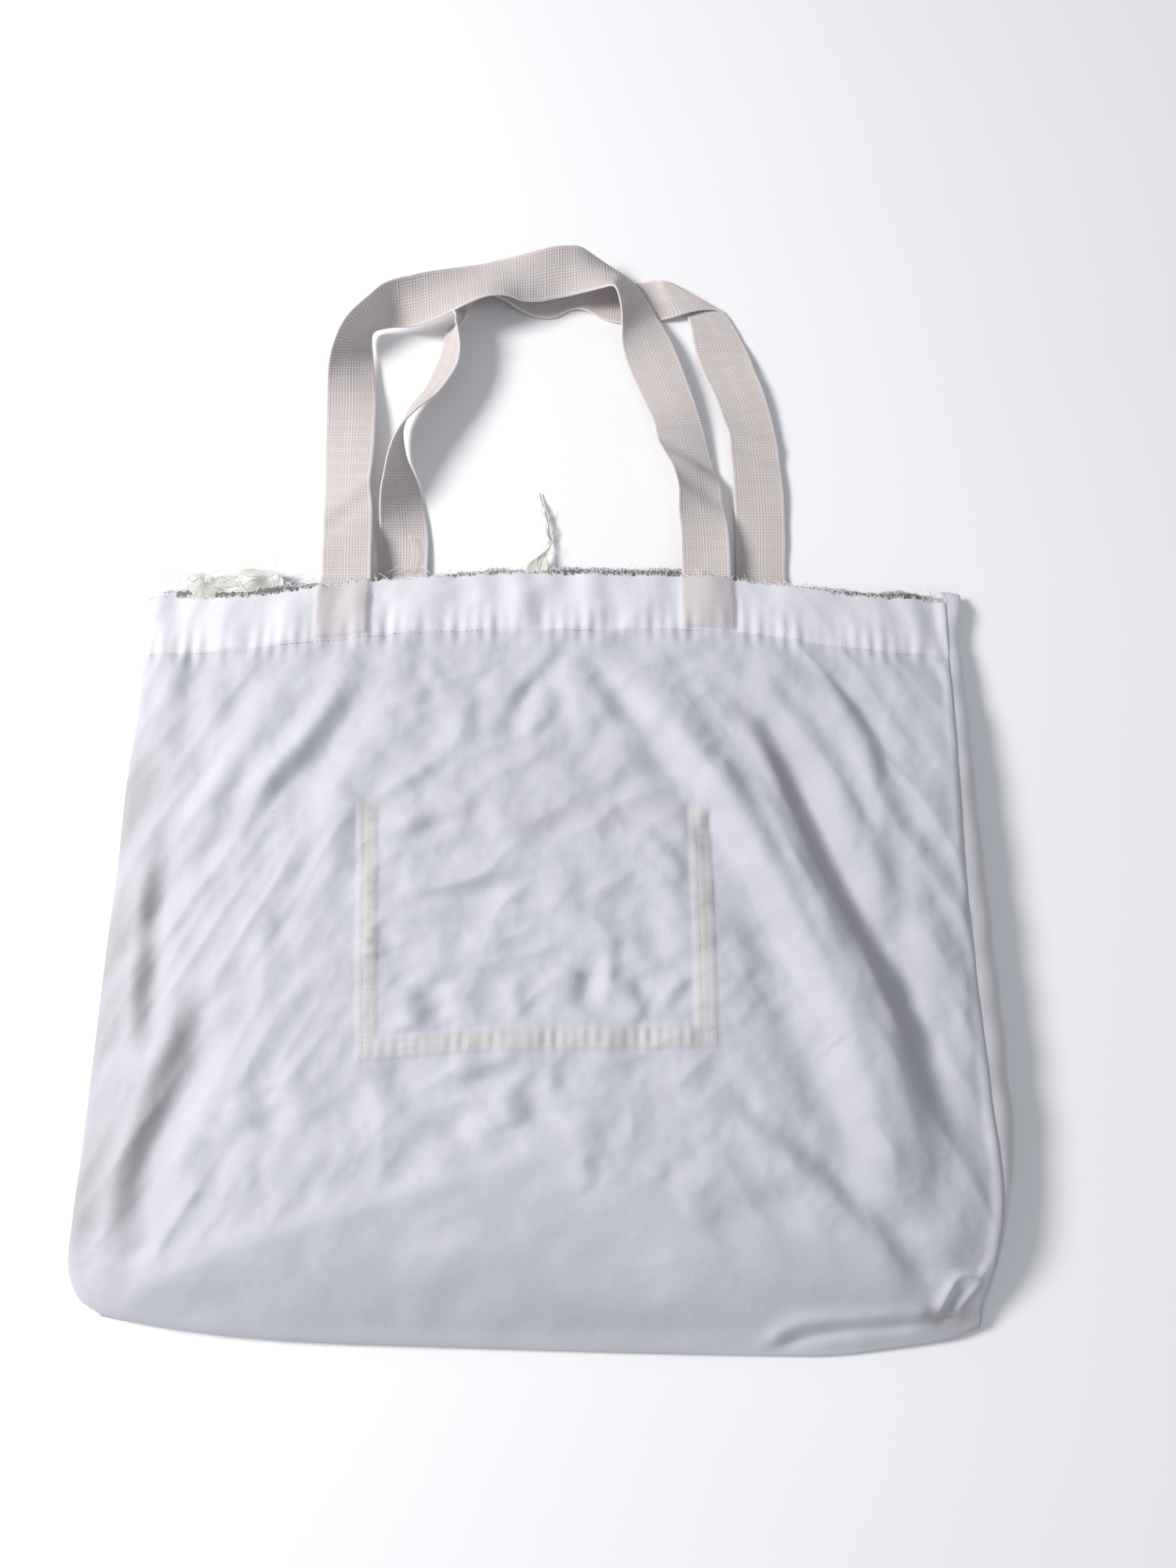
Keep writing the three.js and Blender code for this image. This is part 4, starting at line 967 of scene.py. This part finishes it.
# ---------------------------------------------------------------- stitching
def stitch_line(xy, height_at, pitch, radius, lift=0.32, gap=0.22):
    """Short arched stitches along a polyline of (x, y)."""
    p = np.array(xy, float)
    s_ = np.concatenate([[0], np.cumsum(np.hypot(*np.diff(p, axis=0).T))])
    out = []
    k = 0.0
    while k + pitch < s_[-1]:
        u = np.linspace(gap * 0.5, 1 - gap * 0.5, 7)
        q = k + u * pitch
        x, y = np.interp(q, s_, p[:, 0]), np.interp(q, s_, p[:, 1])
        arch = np.sin(np.linspace(0, math.pi, 7))
        z = height_at(x, y) + lift * arch - 0.28
        out.append((np.stack([x, y, z], 1), radius))
        k += pitch
    return out


xs_h = np.linspace(-236, 226, 240)
hem_front = tubes("front_hem_stitches", stitch_line(np.stack([xs_h, stitch_y(xs_h) + 0.1 * waves(xs_h, 30, 3)], 1), H, 3.0, 0.34), THREAD)
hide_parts("front_hem_stitching")
front_blend(hem_front)
xs_h = np.linspace(-220, 220, 240)
hem_back = tubes("back_hem_stitches", stitch_line(np.stack([xs_h, mouth_back(xs_h) - HEM + 1.6], 1), lambda x, y: 4.75 + 0.0 * x, 3.0, 0.27), THREAD)
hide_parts("back_hem_stitching")
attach(hem_back, "bag_back")


def pocket_rows(name, lines, node):
    out = []
    for ln in lines:
        out += stitch_line(ln, H, 2.7, 0.24, lift=0.30)
    o = tubes(name, out, THREAD)
    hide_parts(node)
    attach(o, "bag_front")
    return o


ys_p = np.linspace(PK[2][1] + 2, PK[0][1] - 2, 90)
pocket_rows("pocket_left_stitches", [np.stack([PXL(ys_p) + o_, ys_p], 1) for o_ in (2.4, 7.8)], "pocket_left_stitching")
ys_p = np.linspace(PK[4][1] + 2, PK[1][1] - 4, 90)
pocket_rows("pocket_right_stitches", [np.stack([PXR(ys_p) - o_, ys_p], 1) for o_ in (2.4, 7.8)], "pocket_right_stitching")
xs_p = np.linspace(PK[2][0] + 2, PK[4][0] - 2, 120)
pocket_rows("pocket_bottom_stitches", [np.stack([xs_p, PYB(xs_p) + o_], 1) for o_ in (2.4, 7.8)], "pocket_bottom_stitching")

# ---------------------------------------------------------------- pocket cloth, inside
nxp, nyp = 140, 110
px_ = np.linspace(0, 1, nxp)[None, :]
py_ = np.linspace(0, 1, nyp)[:, None]
PX_ = -109 + 200 * px_ + 0 * py_
PY_ = -190 + 146 * py_ + 0 * px_
inn = smoothstep((np.minimum(PX_ + 109, 91 - PX_) - 8) / 12) * smoothstep((PY_ + 190 - 8) / 14)
PZ_ = H(PX_, PY_) - 1.5 - 5.6 * inn + 0.5 * waves(PX_, 42, 101) * inn
pocket = grid("pocket_cloth", PX_, PY_, PZ_, CANVAS_IN)
thicken(pocket, 0.8)
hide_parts("pocket_panel")
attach(pocket, "bag_front")
hx_ = np.linspace(0, 1, 120)[None, :] * np.ones((12, 1))
hv_ = np.linspace(0, 1, 12)[:, None] * np.ones((1, 120))
HX_ = -91 + 164 * hx_
HY_ = -57 + 12.5 * hv_
inn = smoothstep((np.minimum(HX_ + 109, 91 - HX_) - 8) / 12)
HZ_ = H(HX_, HY_) - 1.5 - 5.6 * inn + 0.5 * waves(HX_, 42, 101) * inn - 1.1 - 0.25 * np.sin(hv_ * math.pi)
phem = grid("pocket_hem_fold", HX_, HY_, HZ_, CANVAS_IN)
thicken(phem, 0.8)
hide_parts("pocket_mouth_hem")
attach(phem, "bag_front")

# ---------------------------------------------------------------- seam allowances
SIDE_PIECES, CORNER_PIECES = [], []
for name, node, sgn in (("left_seam_allowance", "left_side_seam", -1), ("right_seam_allowance", "right_side_seam", 1)):
    ny_ = 160
    v = np.linspace(0, 1, ny_)[:, None]
    u = np.linspace(0, 1, 10)[None, :]
    y = -268 + 338 * v + 0 * u
    x = (x_seam(y) - 2.0 - 9 * u) if sgn > 0 else (x_left(y) + 9.5 + 8 * u)
    z = H(x, y) - 2.2 - 0.5 * u + 0.3 * waves(y, 26, 111 + sgn)
    o = grid(name, x, y, z, CANVAS_IN, flip=(sgn > 0))
    thicken(o, 1.3)
    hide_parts(node)
    front_blend(o)
    SIDE_PIECES.append(o)
for name, node, sgn in (("left_corner_allowance", "left_corner_seam", -1), ("right_corner_allowance", "right_corner_seam", 1)):
    u = np.linspace(0, 1, 40)[None, :]
    v = np.linspace(0, 1, 10)[:, None]
    x = sgn * (198 + 30 * u) + 0 * v
    y = -303 + 8 * v + 0 * u
    z = 2.9 + 0.25 * waves(x, 14, 121 + sgn) + 0.3 * v
    o = grid(name, x, y, z, CANVAS_IN, flip=(sgn < 0))
    thicken(o, 0.9)
    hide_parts(node)
    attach(o, "bag_back")
    CORNER_PIECES.append(o)

# ---------------------------------------------------------------- fringes
def fringe(name, xs_, edge, z_at, seed, length=(1.5, 4.2), radius=0.13, lean=0.9, down=0.5):
    g = np.random.default_rng(seed)
    lines = []
    for x in xs_:
        if g.random() < 0.15:
            continue
        x = x + g.uniform(-0.6, 0.6)
        L = g.uniform(*length) * (1.0 if g.random() < 0.85 else 1.7)
        a = g.normal(0, lean)
        n = 6
        u = np.linspace(0, 1, n)
        curl = g.normal(0, 0.5)
        px = x + L * (a * u + curl * u * u) * 0.5
        py = edge(x) - 1.0 + L * u * (0.85 - 0.2 * abs(a))
        z0 = z_at(x, edge(x) - 1.0)
        pz = z0 - down * L * u * u + g.uniform(-0.3, 0.5) * u
        lines.append((np.stack([px, py, np.maximum(pz, 0.3)], 1), radius * (1.1 - 0.6 * u)))
    return tubes(name, lines, FRAY, sides=4)


fx_ = np.arange(-240, 232, 0.75)
fr1 = fringe("front_edge_fringe", fx_, lambda x: float(mouth(np.array(x))), lambda x, y: float(H(x, y)) - 0.4, 201, length=(2.2, 5.6), radius=0.21, down=0.20)
front_blend(fr1)
sample_back_edge = lambda x: np.interp(x, BX[-1, :NB], BZ[-1, :NB]) + 0.3
fx_ = np.arange(-236, 232, 0.9)
fr2 = fringe("back_edge_fringe", fx_, lambda x: float(mouth_back(np.array(x))), lambda x, y: float(sample_back_edge(x)), 202, length=(1.6, 4.6), radius=0.18, down=0.12)
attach(fr2, "bag_back")

# ---------------------------------------------------------------- lining scraps
nxs, nys = 150, 70
u = np.linspace(0, 1, nxs)[None, :] * np.ones((nys, 1))
v = np.linspace(0, 1, nys)[:, None] * np.ones((1, nxs))
lx = -219 + 58 * u
edge_ = mouth_back(lx)
ly0 = 52.0
reach = 3.0 + 12.5 * np.clip(1 - ((u - 0.62) / 0.37) ** 2, 0, 1) ** 0.7 + 8.0 * np.clip(1 - ((u - 0.10) / 0.10) ** 2, 0, 1) ** 0.7
reach = reach + 0.3 * waves(lx, 11, 133)
ly = ly0 + (edge_ + reach - ly0) * v
past = ly - edge_ + 4
lz = 5.9 + 5.5 * np.exp(-((past - 8) / 6.5) ** 2) * (0.65 + 0.35 * np.sin(u * 11)) + (0.8 * waves(lx + 0.6 * ly, 26, 131) + 0.22 * waves(lx - 0.9 * ly, 13, 132)) * smoothstep((past + 2) / 6)
lz = lz - 4.0 * smoothstep((past - 10) / 9)
lining = grid("lining_scrap", lx, ly, np.maximum(lz, 1.0), LINING)
thicken(lining, 0.5)
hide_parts("lining_remnant")
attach(lining, "bag_back")
nn = 120
v = np.linspace(0, 1, nn)[:, None]
u = np.linspace(-1, 1, 14)[None, :]
ty_ = 62 + 92 * v + 0 * u
wd = 6.5 * (1 - 0.78 * smoothstep((ty_ - 97) / 22)) + 0.7 * np.sin(ty_ / 3.1)
wd = np.where(ty_ > 140, np.maximum(0.5, wd * (1 - (ty_ - 140) / 16)), wd)
cx = -9 + 5.5 * np.sin((ty_ - 96) / 14) * smoothstep((ty_ - 96) / 20) + 0.10 * (ty_ - 96) * smoothstep((ty_ - 96) / 20)
tx_ = cx + wd * u * np.cos((ty_ - 100) / 9.0 * smoothstep((ty_ - 100) / 6))
tz_ = 5.8 - 4.4 * smoothstep((ty_ - 104) / 18) + 1.1 * np.sin(ty_ / 5.0) * u ** 2 + 2.4 * np.abs(u) * smoothstep((ty_ - 100) / 12) * np.abs(np.sin((ty_ - 100) / 9.0))
tongue = grid("frayed_tongue_cloth", tx_, ty_, np.maximum(tz_, 0.8), LINING)
thicken(tongue, 0.4)
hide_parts("frayed_tongue")
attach(tongue, "bag_back")

# loose threads round the left end of the mouth and on the back handle's left leg
g = np.random.default_rng(303)
lines = []
for k_ in range(30):
    x = g.uniform(-224, -150)
    y = float(mouth_back(np.array(x))) + g.uniform(-2, 9)
    n = 14
    a = g.uniform(0, 2 * math.pi)
    L = g.uniform(5, 17)
    u = np.linspace(0, 1, n)
    bend_ = g.normal(0, 1.6)
    th = a + bend_ * u
    px, py = x + L * np.cumsum(np.cos(th)) / n, y + 0.6 * L * np.cumsum(np.sin(th)) / n
    pz = 6 + g.uniform(0, 4) + 2.0 * np.sin(u * math.pi) - 3.0 * u * g.random()
    py = np.minimum(py, float(mouth_back(np.array(x))) + 19)
    lines.append((np.stack([px, py, np.maximum(pz, 0.6)], 1), g.uniform(0.14, 0.24)))
for pts_, z_, r_ in (([(-87.2, 122.4), (-84.3, 111.4), (-85.0, 105.1), (-86.2, 99.9), (-90.1, 100.9), (-93.4, 100.4), (-98.9, 97.3)], 6.5, 0.22),
                     ([(-86.2, 99.9), (-82.5, 102.0), (-77.7, 100.9), (-72.8, 96.2)], 6.5, 0.20),
                     ([(-164.7, 105.7), (-166.2, 100.5), (-163.5, 95.8), (-166.4, 90.2)], 9.0, 0.20),
                     ([(-230.1, 86.1), (-218.5, 93.3), (-207.9, 90.7), (-195.3, 97.9), (-181.7, 92.2), (-169.2, 96.3)], 12.5, 0.20),
                     ([(-225.5, 97.4), (-215.3, 89.1), (-204.5, 94.8), (-191.7, 88.1), (-175.9, 90.7)], 12.5, 0.20),
                     ([(-237.1, 90.2), (-226.2, 94.8), (-221.8, 87.6), (-229.4, 83.5)], 11.5, 0.18),
                     ([(-190.9, 101.5), (-180.1, 96.9), (-172.8, 100.5), (-165.7, 93.8), (-156.2, 92.2), (-146.9, 93.8)], 12.0, 0.20),
                     ([(-157.9, 89.1), (-150.5, 92.2), (-144.8, 90.7), (-141.3, 94.8)], 9.0, 0.20)):
    q_ = spline([list(p_) for p_ in pts_], 0)
    lines.append((np.column_stack([q_[:, 0], q_[:, 1], np.full(len(q_), z_) + 0.6 * np.sin(np.linspace(0, 9, len(q_)))]), r_))
for k_ in range(16):
    y0 = g.uniform(94, 132)
    L = g.uniform(10, 32)
    yy_ = np.linspace(y0, min(152, y0 + L), 16)
    cx_ = -9 + 5.5 * np.sin((yy_ - 96) / 14) * smoothstep((yy_ - 96) / 20) + 0.10 * (yy_ - 96) * smoothstep((yy_ - 96) / 20)
    xx_ = cx_ + g.normal(0, 1.4) + 1.6 * np.sin(yy_ / g.uniform(2.5, 6.0) + g.uniform(0, 6)) + (g.normal(0, 0.12) * (yy_ - y0))
    zz_ = 6.4 - 4.0 * smoothstep((yy_ - 104) / 18) + g.uniform(0.2, 1.6)
    lines.append((np.stack([xx_, yy_, zz_], 1), g.uniform(0.13, 0.20)))
loose = tubes("loose_threads", lines, FRAY, sides=4)
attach(loose, "bag_back")

# ---------------------------------------------------------------- floor
fl = bpy.data.meshes.new("floor")
R_ = 3.0
fl.from_pydata([(-R_, -R_, 0), (R_, -R_, 0), (R_, R_, 0), (-R_, R_, 0)], [], [(0, 1, 2, 3)])
floor = bpy.data.objects.new("floor", fl)
fl.materials.append(floor_material())
bpy.context.scene.collection.objects.link(floor)
floor.location = (0, 0, -0.0002)

bpy.context.view_layer.update()
